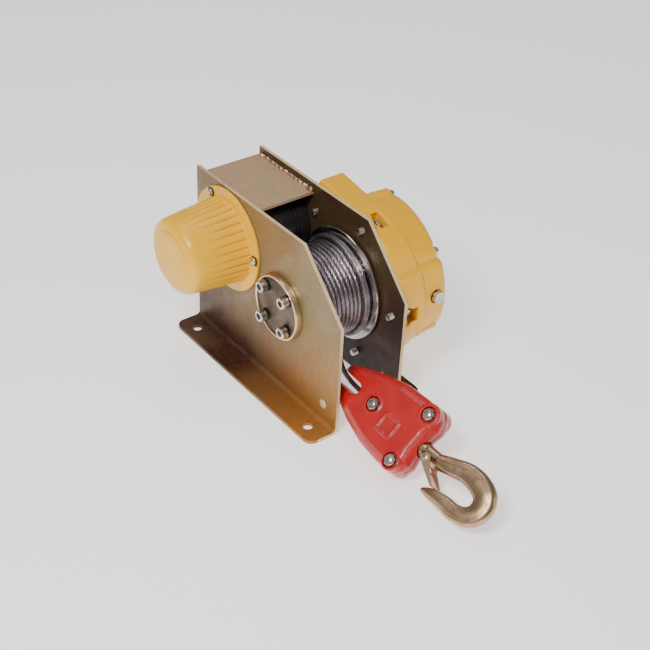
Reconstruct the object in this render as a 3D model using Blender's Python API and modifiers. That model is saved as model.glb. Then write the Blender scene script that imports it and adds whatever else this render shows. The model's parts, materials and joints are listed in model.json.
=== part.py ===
"""Wire rope puller: a small electric winch with its hook block.

Two bent side plates carry a rope drum. The motor lies behind the drum and drives it
through a two-stage gearbox on the far plate. +X runs along the drum from the motor cover
to the gearbox, -Y is the side that the rope leaves from, and +Z is up. The origin is on
the ground, under the middle of the winch without its rope and hook block.
"""

import math

import bmesh
import bpy
from mathutils import Matrix, Vector

MM = 0.001
GAP = 0.3 * MM                      # between two pieces that touch

# Frame of the winch
PLATE_T = 4.5 * MM                  # side plate thickness
INNER_SPAN = 88.0 * MM              # between the side plates
PLATE_LENGTH = 290.6 * MM
PLATE_HEIGHT = 223.4 * MM
SLOPE_START = 217.0 * MM            # along the top edge, from the back
SLOPE_END_Z = 149.2 * MM            # where the slope meets the front edge
FOOT_REACH = 37.6 * MM              # beyond the plate's outer face
FOOT_BEND_R = 5.0 * MM
FOOT_CORNER_R = 12.0 * MM
FOOT_HOLE_R = 6.0 * MM
FOOT_HOLE_REACH = 20.0 * MM         # from the plate's outer face
FOOT_HOLES_AT = (26.0 * MM, 264.0 * MM)
GUIDE_HOLE = (265.0 * MM, 29.0 * MM)
GUIDE_HOLE_R = 6.0 * MM
TOP_PLATE_BACK = 1.3 * MM
TOP_PLATE_FRONT = 114.8 * MM
TOP_PLATE_Z = 214.0 * MM            # its upper face

# How far the winch reaches along X
COVER_REACH = 83.5 * MM             # motor cover, beyond the near plate
GEARBOX_REACH = 75.0 * MM           # gearbox, beyond the far plate
MID_X = (COVER_REACH - GEARBOX_REACH) / 2

# The two axes along X, as distance from the back edge and height
DRUM_AT = (179.4 * MM, 119.7 * MM)
MOTOR_AT = (69.3 * MM, 155.6 * MM)

# Drum, shaft and rope
FLANGE_R = 71.9 * MM
FLANGE_T = 4.0 * MM
BARREL_R = 41.0 * MM
BARREL_WALL = 5.0 * MM
DRUM_NEAR = -35.0 * MM              # outer face of the near flange, from the middle
DRUM_FAR = 41.3 * MM
WEB_T = 8.0 * MM
SHAFT_R = 15.0 * MM
ROPE_D = 6.0 * MM
ROPE_PITCH = 6.1 * MM
LAYERS_R = 59.0 * MM                # outside of the full layers
TOP_LAYER_R = 64.5 * MM
TOP_LAYER_TURNS = 2

# Bearings of the drum shaft: 25 x 47 x 12 near, 30 x 55 x 13 far
NEAR_BEARING_R = 23.5 * MM
NEAR_BEARING_W = 12.0 * MM
NEAR_JOURNAL_R = 12.5 * MM
FAR_BEARING_R = 27.5 * MM
FAR_BEARING_W = 13.0 * MM
BEARING_COVER_R = 41.5 * MM
BEARING_COVER_T = 8.5 * MM
BEARING_SCREW_SPAN = 21.0 * MM      # each way from the drum axis
BEARING_SCREW_R = 4.0 * MM

# Motor and its cover
MOTOR_R = 43.0 * MM
STATOR_R = 35.7 * MM
ROTOR_R = 19.5 * MM
ROTOR_LENGTH = 52.0 * MM
MOTOR_SHAFT_R = 7.5 * MM
COVER_FLANGE_R = 66.5 * MM
COVER_WALL = 3.5 * MM
COVER_SCREW_R = 60.0 * MM

# Gearbox
CASE_DEPTH = 35.0 * MM
CASE_R = 101.0 * MM                 # about the drum axis
CASE_MOTOR_R = 28.0 * MM            # about the motor axis
CASE_WALL = 6.2 * MM
GEAR_ROOM_R = 74.0 * MM
ROOM_MOTOR_R = 14.0 * MM
MOUTH_R = 82.0 * MM                 # of the wider first part of the gear room
MOUTH_DEPTH = 8.0 * MM
COVER_R = 98.0 * MM
COVER_REAR_R = 84.0 * MM            # behind the first and last cover bolts
COVER_FRONT_FROM, COVER_FRONT_TO = -93.0, 107.0
DECK_R = 90.0 * MM                  # shallow part of the cover, over the first gear stage
DECK_MOTOR_R = 18.0 * MM
DECK_DEPTH = 57.0 * MM              # from the far plate
COVER_END_WALL = 9.0 * MM
STAGE_ROOM_R = 30.0 * MM            # about the countershaft, in the cover
PINION_ROOM_R = 11.0 * MM
LUG_R = 9.0 * MM
LUG_DEPTH = 22.0 * MM
LUG_DROP = 8.0 * MM                 # from the cover's end face to its bolt heads
BULGE = 4.5 * MM                    # raised band on the front of both castings
BULGE_FROM, BULGE_TO = -18.0, 30.0  # degrees about the drum axis
CASE_BOLT_R = 91.0 * MM
CASE_BOLT_ANGLES = (71.5, 1.5, -69.3, 130.0)
COVER_BOLT_R = 92.0 * MM
COVER_BOLT_ANGLES = (97.0, 37.0, -23.0, -83.0)
COVER_BOLT_REAR_ANGLES = (170.0, -110.0)
COVER_BOLT_REAR_R = 20.0 * MM       # about the motor axis
CASE_BOLT_SEAT = 12.0 * MM          # height of the bolt heads' seats over the far plate
CASE_POCKET_R = 12.8 * MM
CASE_POCKET_TOP = 23.0 * MM
CASE_LIP_R = 96.5 * MM              # what is left of the rim in front of each case bolt
CASE_LIP_CUT_R = 14.0 * MM
EAR = (                             # corners of the case's top ear: distance, height
    (205.0 * MM, 205.0 * MM),
    (180.0 * MM, 220.3 * MM),
    (119.5 * MM, 230.0 * MM),
    (111.0 * MM, 214.0 * MM),
    (90.0 * MM, 190.0 * MM),
)
OIL_PLUG_ANGLE = 7.0

# Gears: two stages
OUTPUT_MODULE = 2.0 * MM
OUTPUT_TEETH = 69
PINION_TEETH = 13
FIRST_MODULE = 1.25 * MM
FIRST_WHEEL_TEETH = 44
MOTOR_PINION_TEETH = 12

# Hook block, in its own frame: -Y along the hook's shank, Z out of its upper face
BLOCK_AT = (-14.0 * MM, 390.0 * MM, 43.2 * MM)   # middle of the two shank bolts
BLOCK_ROLL = math.radians(42.0)
BLOCK_PITCH = math.radians(4.0)
BLOCK_HALF_T = 17.0 * MM
BLOCK_BOLT_SPAN = 33.0 * MM
BLOCK_PIN_Y = 64.0 * MM
MOUTH_HALF = 7.5 * MM
MOUTH_END_Y = 90.0 * MM
SHANK_R = 9.5 * MM

# Free rope, from the drum to the hook block, by hand: x from the middle, distance, height
ROPE_ROUTE = (
    (17.5, 203.5, 56.0),
    (10.5, 218.0, 53.2),
    (1.5, 234.0, 51.0),
    (-6.5, 251.0, 50.0),
    (-11.6, 270.0, 50.3),
    (-13.6, 290.0, 50.0),
    (-14.0, 304.0, 49.3),
    (-14.0, 315.0, 48.6),
)

# Fasteners
M6_R, M6_FLATS = 3.0 * MM, 10.0 * MM
M8_R, M8_FLATS = 4.0 * MM, 13.0 * MM
M12_R = 6.0 * MM
BUSH_R = 11.0 * MM

CLEAR = 10.0 * MM                   # how far a cutting tool runs past the solid that it cuts
SEG_COVER = 72
SEG_BIG = 40
SEG_MID = 28
SEG_SMALL = 12

# Local X, Y and Z lie along world Y, Z and X: for outlines seen along X and turned parts
FACE_X = Matrix(((0, 0, 1), (1, 0, 0), (0, 1, 0))).to_4x4()


# ---------------------------------------------------------------- places

def ahead(distance):
    """World Y of a distance measured forward from the plates' back edge."""
    return PLATE_LENGTH / 2 - distance


def on_axis(axis_at, across=0.0):
    """World point on an axis along X; across is measured from between the plates."""
    return Vector((MID_X + across, ahead(axis_at[0]), axis_at[1]))


def around(axis_at, radius, degrees, across=0.0):
    """World point at an angle about an axis along X: 0 is forward, 90 is up."""
    angle = math.radians(degrees)
    offset = Vector((0, -radius * math.cos(angle), radius * math.sin(angle)))
    return on_axis(axis_at, across) + offset


NEAR_IN, NEAR_OUT = -INNER_SPAN / 2, -INNER_SPAN / 2 - PLATE_T
FAR_IN, FAR_OUT = INNER_SPAN / 2, INNER_SPAN / 2 + PLATE_T
BLOCK_FRAME = (
    Matrix.Translation((MID_X + BLOCK_AT[0], ahead(BLOCK_AT[1]), BLOCK_AT[2]))
    @ Matrix.Rotation(BLOCK_PITCH, 4, "X")
    @ Matrix.Rotation(-BLOCK_ROLL, 4, "Y")
)
# Turned parts and outlines of the hook block that run along its own -Y
BLOCK_ALONG = BLOCK_FRAME @ Matrix.Rotation(math.radians(90.0), 4, "X")


# ---------------------------------------------------------------- scene and materials

def clear_scene():
    for old in list(bpy.data.objects):
        bpy.data.objects.remove(old, do_unlink=True)


def make_collection(name):
    group = bpy.data.collections.new(name)
    bpy.context.scene.collection.children.link(group)
    return group


def material(name, colour, roughness, metallic):
    finish = bpy.data.materials.get(name)
    if finish is None:
        finish = bpy.data.materials.new(name)
        finish.use_nodes = True
        shader = finish.node_tree.nodes["Principled BSDF"]
        shader.inputs["Base Color"].default_value = (*colour, 1.0)
        shader.inputs["Roughness"].default_value = roughness
        shader.inputs["Metallic"].default_value = metallic
    return finish


clear_scene()
PARTS = make_collection("wire_rope_puller")

PLATED = material("zinc_plate", (0.55, 0.42, 0.24), 0.4, 0.8)
YELLOW = material("yellow_paint", (0.93, 0.58, 0.06), 0.4, 0.0)
RED = material("red_paint", (0.62, 0.04, 0.04), 0.4, 0.0)
BLACK = material("black_paint", (0.03, 0.03, 0.03), 0.5, 0.0)
STEEL = material("machined_steel", (0.55, 0.55, 0.56), 0.3, 1.0)
FASTENER = material("bright_zinc", (0.7, 0.7, 0.7), 0.3, 1.0)
ROPE = material("wire_rope", (0.35, 0.33, 0.35), 0.45, 0.9)
FORGED = material("forged_hook", (0.6, 0.47, 0.33), 0.4, 0.8)
COPPER = material("copper_winding", (0.6, 0.28, 0.14), 0.4, 0.9)
BRONZE = material("bronze_bush", (0.55, 0.4, 0.2), 0.4, 0.9)


# ---------------------------------------------------------------- modelling helpers

def add_object(name, data, place, finish):
    made = bpy.data.objects.new(name, data)
    PARTS.objects.link(made)
    made.matrix_world = place
    if finish is not None:
        data.materials.clear()
        data.materials.append(finish)
    return made


def to_mesh(source):
    """The evaluated shape of an object as a plain welded mesh object of the same name."""
    bpy.context.view_layer.update()
    graph = bpy.context.evaluated_depsgraph_get()
    mesh = bpy.data.meshes.new_from_object(source.evaluated_get(graph))
    shape = bmesh.new()
    shape.from_mesh(mesh)
    bmesh.ops.remove_doubles(shape, verts=shape.verts, dist=0.001 * MM)
    shape.to_mesh(mesh)
    shape.free()
    name, place = source.name, source.matrix_world.copy()
    finish = source.data.materials[0] if source.data.materials else None
    bpy.data.objects.remove(source, do_unlink=True)
    return add_object(name, mesh, place, finish)


def turned(name, profile, place, finish, steps=SEG_MID, closed=False):
    """Profile points (radius, height) revolved about local Z, outer side top to bottom."""
    mesh = bpy.data.meshes.new(name)
    count = len(profile)
    edges = [(i, i + 1) for i in range(count - 1)]
    if closed:
        edges.append((count - 1, 0))
    mesh.from_pydata([(radius, 0.0, height) for radius, height in profile], edges, [])
    made = add_object(name, mesh, place, finish)
    screw = made.modifiers.new("turn", "SCREW")
    screw.steps = steps
    screw.render_steps = steps
    screw.use_merge_vertices = True
    screw.merge_threshold = 0.00001
    screw.use_smooth_shade = False
    return to_mesh(made)


def ring(name, outer, inner, low, high, place, finish, steps=SEG_MID):
    profile = [(outer, high), (outer, low), (inner, low), (inner, high)]
    return turned(name, profile, place, finish, steps, closed=True)


def rod(name, radius, low, high, place, finish, steps=SEG_SMALL):
    profile = [(0.0, high), (radius, high), (radius, low), (0.0, low)]
    return turned(name, profile, place, finish, steps)


def prism(name, points, low, high, place, finish=None):
    """A flat outline in local X and Y, from height low to high."""
    curve = bpy.data.curves.new(name, "CURVE")
    curve.dimensions = "2D"
    curve.fill_mode = "BOTH"
    curve.extrude = (high - low) / 2
    spline = curve.splines.new("POLY")
    spline.points.add(len(points) - 1)
    for point, (x, y) in zip(spline.points, points):
        point.co = (x, y, 0.0, 1.0)
    spline.use_cyclic_u = True
    made = add_object(name, curve, place @ Matrix.Translation((0, 0, (low + high) / 2)), finish)
    return to_mesh(made)


def combine(target, other, operation):
    """Union, difference or intersection of two objects; the other one is used up."""
    step = target.modifiers.new(operation, "BOOLEAN")
    step.operation = operation
    step.solver = "EXACT"
    step.object = other
    joined = to_mesh(target)
    bpy.data.objects.remove(other, do_unlink=True)
    return joined


def cut(target, other):
    return combine(target, other, "DIFFERENCE")


def join(target, other):
    return combine(target, other, "UNION")


def loft(name, rings, place, finish):
    """A closed solid through rings of points, all with the same count."""
    shape = bmesh.new()
    loops = [[shape.verts.new(point) for point in ring_points] for ring_points in rings]
    for lower, upper in zip(loops, loops[1:]):
        for i, vertex in enumerate(lower):
            j = (i + 1) % len(lower)
            shape.faces.new((vertex, lower[j], upper[j], upper[i]))
    shape.faces.new(tuple(reversed(loops[0])))
    shape.faces.new(tuple(loops[-1]))
    bmesh.ops.recalc_face_normals(shape, faces=shape.faces)
    mesh = bpy.data.meshes.new(name)
    shape.to_mesh(mesh)
    shape.free()
    return add_object(name, mesh, place, finish)


def arc(centre, radius, start, end, steps):
    """Points on an arc in two dimensions, angles in degrees."""
    points = []
    for i in range(steps + 1):
        angle = math.radians(start + (end - start) * i / steps)
        points.append((centre[0] + radius * math.cos(angle), centre[1] + radius * math.sin(angle)))
    return points


def round_rectangle(low, high, radius, steps=4):
    (x0, y0), (x1, y1) = low, high
    return (
        arc((x0 + radius, y0 + radius), radius, 180, 270, steps)
        + arc((x1 - radius, y0 + radius), radius, 270, 360, steps)
        + arc((x1 - radius, y1 - radius), radius, 0, 90, steps)
        + arc((x0 + radius, y1 - radius), radius, 90, 180, steps)
    )


def hexagon(across_flats):
    radius = across_flats / math.sqrt(3)
    return arc((0.0, 0.0), radius, 0, 300, 5)


def hex_bolt(name, flats, head, shank_r, length, place, finish=FASTENER):
    """Head above local Z 0, shank below it."""
    made = prism(name, hexagon(flats), 0.0, head, place, finish)
    return join(made, rod(name + "_shank", shank_r, -length, head / 2, place, finish))


def socket_screw(name, head_r, head, shank_r, length, socket, place, finish=FASTENER):
    profile = [(0.0, head), (head_r * 0.9, head), (head_r, head * 0.92), (head_r, 0.0),
               (shank_r, 0.0), (shank_r, -length), (0.0, -length)]
    made = turned(name, profile, place, finish, 16)
    return cut(made, prism("socket", hexagon(socket), head * 0.5, head * 1.5, place))


def facing_near(point):
    """Frame with local Z pointing to -X, at a world point."""
    return Matrix.Translation(point) @ Matrix.Rotation(math.radians(-90), 4, "Y")


def facing_far(point):
    """Frame with local Z pointing to +X, at a world point."""
    return Matrix.Translation(point) @ Matrix.Rotation(math.radians(90), 4, "Y")


# ---------------------------------------------------------------- side plates

def side_outline():
    """Side view of a plate in world Y and Z."""
    return [
        (ahead(0.0), -PLATE_T),
        (ahead(0.0), PLATE_HEIGHT),
        (ahead(SLOPE_START), PLATE_HEIGHT),
        (ahead(PLATE_LENGTH), SLOPE_END_Z),
        (ahead(PLATE_LENGTH), -PLATE_T),
    ]


def side_plate(name, side):
    """A bent plate with its foot; side is -1 for near and 1 for far."""
    inner = side * INNER_SPAN / 2
    outer = side * (INNER_SPAN / 2 + PLATE_T)
    bend = FOOT_BEND_R + PLATE_T
    tip = outer + side * FOOT_REACH
    centre = (outer + side * FOOT_BEND_R, bend)
    start, end = (180, 270) if side > 0 else (0, -90)
    section = (
        [(inner, PLATE_HEIGHT * 1.05)]
        + arc(centre, bend, start, end, 5)
        + [(tip, 0.0), (tip, PLATE_T)]
        + arc(centre, FOOT_BEND_R, end, start, 5)
        + [(outer, PLATE_HEIGHT * 1.05)]
    )
    across = Matrix.Translation((MID_X, 0, 0)) @ Matrix.Rotation(math.radians(90), 4, "X")
    plate = prism(name, section, -PLATE_LENGTH * 0.6, PLATE_LENGTH * 0.6, across, PLATED)
    outline = prism("side_view", side_outline(), -0.2, 0.2, FACE_X)
    plate = combine(plate, outline, "INTERSECT")
    low_x, high_x = sorted((inner - side * 0.02, tip))
    plan = round_rectangle((MID_X + low_x, -PLATE_LENGTH / 2), (MID_X + high_x, PLATE_LENGTH / 2),
                           FOOT_CORNER_R)
    plate = combine(plate, prism("plan_view", plan, -0.1, 0.4, Matrix()), "INTERSECT")
    for distance in FOOT_HOLES_AT:
        spot = Vector((MID_X + outer + side * FOOT_HOLE_REACH, ahead(distance), 0))
        plate = cut(plate, rod("hole", FOOT_HOLE_R, -0.02, 0.02, Matrix.Translation(spot), None, 16))
    return cut_through_plate(plate, on_axis(GUIDE_HOLE), GUIDE_HOLE_R, 16)


def cut_through_plate(plate, point, radius, steps=SEG_SMALL):
    """A round hole along X, through whichever side plate is given."""
    side = 1 if plate.name.endswith("far") else -1
    middle = Vector((MID_X + side * (INNER_SPAN + PLATE_T) / 2, point.y, point.z))
    return cut(plate, rod("hole", radius, -0.01, 0.01, facing_far(middle), None, steps))


def make_side_plates():
    near = side_plate("side_plate_near", -1)
    near = cut_through_plate(near, on_axis(DRUM_AT), NEAR_BEARING_R + GAP, SEG_MID)
    near = cut_through_plate(near, on_axis(MOTOR_AT), MOTOR_R + 1.5 * MM, SEG_MID)
    for x_sign in (-1, 1):
        for z_sign in (-1, 1):
            near = cut_through_plate(near, bearing_screw_point(x_sign, z_sign),
                                     BEARING_SCREW_R + GAP)
    for angle in cover_screw_angles():
        near = cut_through_plate(near, around(MOTOR_AT, COVER_SCREW_R, angle), 3.0 * MM + GAP)
    far = side_plate("side_plate_far", 1)
    far = cut_through_plate(far, on_axis(DRUM_AT), SHAFT_R + 5 * MM, SEG_MID)
    far = cut_through_plate(far, on_axis(MOTOR_AT), MOTOR_SHAFT_R + 5 * MM, 24)
    for angle in CASE_BOLT_ANGLES:
        far = cut_through_plate(far, around(DRUM_AT, CASE_BOLT_R, angle), 4.0 * MM + GAP)


def make_top_plate():
    low = (MID_X + NEAR_IN + GAP, ahead(TOP_PLATE_FRONT))
    high = (MID_X + FAR_IN - GAP, ahead(TOP_PLATE_BACK))
    corners = [low, (high[0], low[1]), high, (low[0], high[1])]
    prism("top_plate", corners, TOP_PLATE_Z - PLATE_T, TOP_PLATE_Z, Matrix(), PLATED)


# ---------------------------------------------------------------- drum bearing on the near plate

def bearing_screw_point(y_sign, z_sign, across=0.0):
    point = on_axis(DRUM_AT, across)
    return point + Vector((0, y_sign * BEARING_SCREW_SPAN, z_sign * BEARING_SCREW_SPAN))


def make_near_bearing():
    place = Matrix.Translation(on_axis(DRUM_AT)) @ FACE_X
    seat = NEAR_OUT - GAP
    face = seat - BEARING_COVER_T
    recess = 1.5 * MM
    rim = BEARING_COVER_R - 3.2 * MM
    profile = [(0.0, seat), (BEARING_COVER_R, seat), (BEARING_COVER_R, face + 1 * MM),
               (BEARING_COVER_R - 1 * MM, face), (rim, face), (rim, face + recess),
               (0.0, face + recess)]
    cover = turned("bearing_cover", profile, place, STEEL, SEG_BIG)
    housing_face = NEAR_IN + 8.0 * MM
    housing = ring("bearing_housing", 40.5 * MM, NEAR_BEARING_R + GAP, NEAR_IN + GAP, housing_face,
                   place, STEEL, SEG_BIG)
    number = 1
    for y_sign in (-1, 1):
        for z_sign in (-1, 1):
            point = bearing_screw_point(y_sign, z_sign, face + recess - GAP)
            hole = facing_near(bearing_screw_point(y_sign, z_sign, NEAR_OUT))
            cover = cut(cover, rod("hole", BEARING_SCREW_R + GAP, -0.03, 0.03, hole, None))
            housing = cut(housing, rod("hole", BEARING_SCREW_R + GAP, -0.03, 0.03, hole, None))
            socket_screw("bearing_screw_%d" % number, 7.8 * MM, 11.5 * MM, BEARING_SCREW_R,
                         18.0 * MM, 8.0 * MM, facing_near(point))
            number += 1
    ring("drum_bearing_near", NEAR_BEARING_R, NEAR_JOURNAL_R + GAP, NEAR_OUT,
         NEAR_OUT + NEAR_BEARING_W, place, STEEL)


# ---------------------------------------------------------------- drum, rope on it and shaft

def make_drum():
    place = Matrix.Translation(on_axis(DRUM_AT)) @ FACE_X
    bore = SHAFT_R + GAP
    inside = BARREL_R - BARREL_WALL
    profile = [
        (bore, DRUM_FAR), (FLANGE_R - 0.8 * MM, DRUM_FAR), (FLANGE_R, DRUM_FAR - 0.8 * MM),
        (FLANGE_R, DRUM_FAR - FLANGE_T), (BARREL_R, DRUM_FAR - FLANGE_T),
        (BARREL_R, DRUM_NEAR + FLANGE_T), (FLANGE_R, DRUM_NEAR + FLANGE_T),
        (FLANGE_R, DRUM_NEAR), (bore, DRUM_NEAR),
        (bore, DRUM_NEAR + WEB_T), (inside, DRUM_NEAR + WEB_T),
        (inside, DRUM_FAR - WEB_T), (bore, DRUM_FAR - WEB_T),
    ]
    turned("rope_drum", profile, place, STEEL, SEG_BIG, closed=True)
    low = DRUM_NEAR + FLANGE_T + GAP
    high = DRUM_FAR - FLANGE_T - GAP
    ring("rope_layers", LAYERS_R, BARREL_R + GAP, low, high, place, ROPE, SEG_BIG)
    ring("rope_top_layer", TOP_LAYER_R, LAYERS_R + GAP, high - TOP_LAYER_TURNS * ROPE_PITCH, high,
         place, ROPE, SEG_BIG)
    low, high = NEAR_OUT + GAP, FAR_OUT + CASE_DEPTH - 1.0 * MM
    shoulder = NEAR_OUT + NEAR_BEARING_W + GAP
    profile = [(0.0, high), (SHAFT_R - 1 * MM, high), (SHAFT_R, high - 1 * MM),
               (SHAFT_R, shoulder), (NEAR_JOURNAL_R, shoulder), (NEAR_JOURNAL_R, low), (0.0, low)]
    turned("drum_shaft", profile, place, STEEL, 24)


# ---------------------------------------------------------------- motor

def cover_screw_angles():
    return [1.0 + 120.0 * i for i in range(3)]


def make_motor():
    place = Matrix.Translation(on_axis(MOTOR_AT)) @ FACE_X
    near_end = NEAR_OUT - 16.0 * MM
    far_end = FAR_IN - GAP
    wall = 8.0 * MM
    bearing_r = 16.0 * MM
    profile = [
        (MOTOR_SHAFT_R + 0.5 * MM, far_end), (MOTOR_R, far_end), (MOTOR_R, near_end),
        (STATOR_R + GAP, near_end), (STATOR_R + GAP, far_end - wall),
        (MOTOR_SHAFT_R + 0.5 * MM, far_end - wall),
    ]
    turned("motor_frame", profile, place, BLACK, SEG_MID, closed=True)
    middle = (near_end + far_end) / 2
    half = ROTOR_LENGTH / 2
    ring("motor_stator", STATOR_R, ROTOR_R + 0.7 * MM, middle - half, middle + half,
         place, COPPER, SEG_MID)
    shield = near_end - GAP
    profile = [
        (MOTOR_R, shield), (MOTOR_R, shield - 5 * MM), (bearing_r, shield - 5 * MM),
        (bearing_r, shield - 9 * MM), (MOTOR_SHAFT_R + 0.5 * MM, shield - 9 * MM),
        (MOTOR_SHAFT_R + 0.5 * MM, shield),
    ]
    turned("motor_end_shield", profile, place, BLACK, SEG_MID, closed=True)
    fan_high = shield - 14 * MM
    fan_low = fan_high - 14 * MM
    shaft_high = FAR_OUT + CASE_DEPTH + 13.0 * MM
    tip_r = 3.7 * MM
    profile = [
        (0.0, shaft_high), (tip_r, shaft_high), (tip_r, FAR_OUT + CASE_DEPTH - 2 * MM),
        (MOTOR_SHAFT_R, FAR_OUT + CASE_DEPTH - 2 * MM), (MOTOR_SHAFT_R, fan_low - 2 * MM),
        (0.0, fan_low - 2 * MM),
    ]
    turned("rotor_shaft", profile, place, STEEL, 16)
    ring("rotor_core", ROTOR_R, MOTOR_SHAFT_R + GAP, middle - half, middle + half,
         place, STEEL, 24)
    blades = 8
    outline = []
    for i in range(blades):
        turn = 360.0 * i / blades
        outline += arc((0, 0), 34.0 * MM, turn - 5, turn + 5, 1)
        outline += arc((0, 0), 13.0 * MM, turn + 12, turn + 33, 2)
    fan = prism("cooling_fan", outline, fan_low, fan_high, place, BLACK)
    cut(fan, rod("hole", MOTOR_SHAFT_R + GAP, fan_low - 0.01, fan_high + 0.01, place, None, 16))
    make_motor_cover(place)


def make_motor_cover(place):
    seat = NEAR_OUT - GAP
    end = NEAR_OUT - COVER_REACH
    flange = seat - 4.0 * MM
    outside = [
        (COVER_FLANGE_R, seat), (COVER_FLANGE_R, flange), (54.5 * MM, flange),
        (53.5 * MM, flange - 8 * MM), (48.0 * MM, end + 14 * MM), (46.0 * MM, end + 7 * MM),
        (42.0 * MM, end + 3 * MM), (36.0 * MM, end + 2 * MM), (34.5 * MM, end), (0.0, end),
    ]
    inside = [
        (0.0, end + COVER_WALL), (38.0 * MM, end + COVER_WALL + 1.5 * MM),
        (43.5 * MM, end + 14 * MM), (50.0 * MM, flange - 8 * MM), (50.5 * MM, seat),
    ]
    cover = turned("motor_cover", outside + inside, place, YELLOW, SEG_BIG, closed=True)
    for number, angle in enumerate(cover_screw_angles(), 1):
        axis = facing_near(around(MOTOR_AT, COVER_SCREW_R, angle, flange - GAP))
        cover = cut(cover, rod("hole", 3.0 * MM + GAP, -0.02, 0.02, axis, None))
        profile = [(0.0, 4 * MM), (3 * MM, 4 * MM), (5 * MM, 2 * MM), (5 * MM, 0.0),
                   (3 * MM, 0.0), (3 * MM, -9 * MM), (0.0, -9 * MM)]
        turned("cover_screw_%d" % number, profile, axis, FASTENER, SEG_SMALL)


# ---------------------------------------------------------------- gearbox

def radius_on_front(base, degrees):
    return base + (BULGE if BULGE_FROM < degrees < BULGE_TO else 0.0)


def pear_outline(drum_r, motor_r, inset=0.0, bulge=True, steps=38):
    """Outline round the drum and motor axes, in world Y and Z."""
    drum = Vector((ahead(DRUM_AT[0]), DRUM_AT[1]))
    motor = Vector((ahead(MOTOR_AT[0]), MOTOR_AT[1]))
    to_motor = motor - drum
    heading = math.degrees(math.atan2(to_motor.y, to_motor.x))
    spread = math.degrees(math.acos((drum_r - motor_r) / to_motor.length))
    points = []
    start, end = heading + spread, heading + 360.0 - spread
    for i in range(steps + 1):
        world = start + (end - start) * i / steps
        front = 180.0 - world            # 0 is forward, 90 is up
        radius = (radius_on_front(drum_r, front) if bulge else drum_r) - inset
        points.append((drum.x + radius * math.cos(math.radians(world)),
                       drum.y + radius * math.sin(math.radians(world))))
    return points + arc(motor, motor_r - inset, heading - spread, heading + spread, steps // 3)


def countershaft_at():
    """Where the countershaft meshes with both the output gear and the motor pinion."""
    to_drum = OUTPUT_MODULE * (OUTPUT_TEETH + PINION_TEETH) / 2
    to_motor = FIRST_MODULE * (FIRST_WHEEL_TEETH + MOTOR_PINION_TEETH) / 2
    drum, motor = Vector(DRUM_AT), Vector(MOTOR_AT)
    between = motor - drum
    span = between.length
    along = (to_drum ** 2 - to_motor ** 2 + span ** 2) / (2 * span)
    aside = math.sqrt(to_drum ** 2 - along ** 2)
    unit = between / span
    return tuple(drum + unit * along + Vector((-unit.y, unit.x)) * aside)


def cover_bolt_points():
    """Middle and seat height of each cover bolt: four on the deep part, two on the deck."""
    seats = []
    for angle in COVER_BOLT_ANGLES:
        seats.append((around(DRUM_AT, COVER_BOLT_R, angle), FAR_OUT + GEARBOX_REACH - LUG_DROP))
    for angle in COVER_BOLT_REAR_ANGLES:
        seats.append((around(MOTOR_AT, COVER_BOLT_REAR_R, angle), FAR_OUT + DECK_DEPTH - LUG_DROP))
    return seats


def lifted(point, across):
    return Vector((MID_X + across, point.y, point.z))


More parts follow.
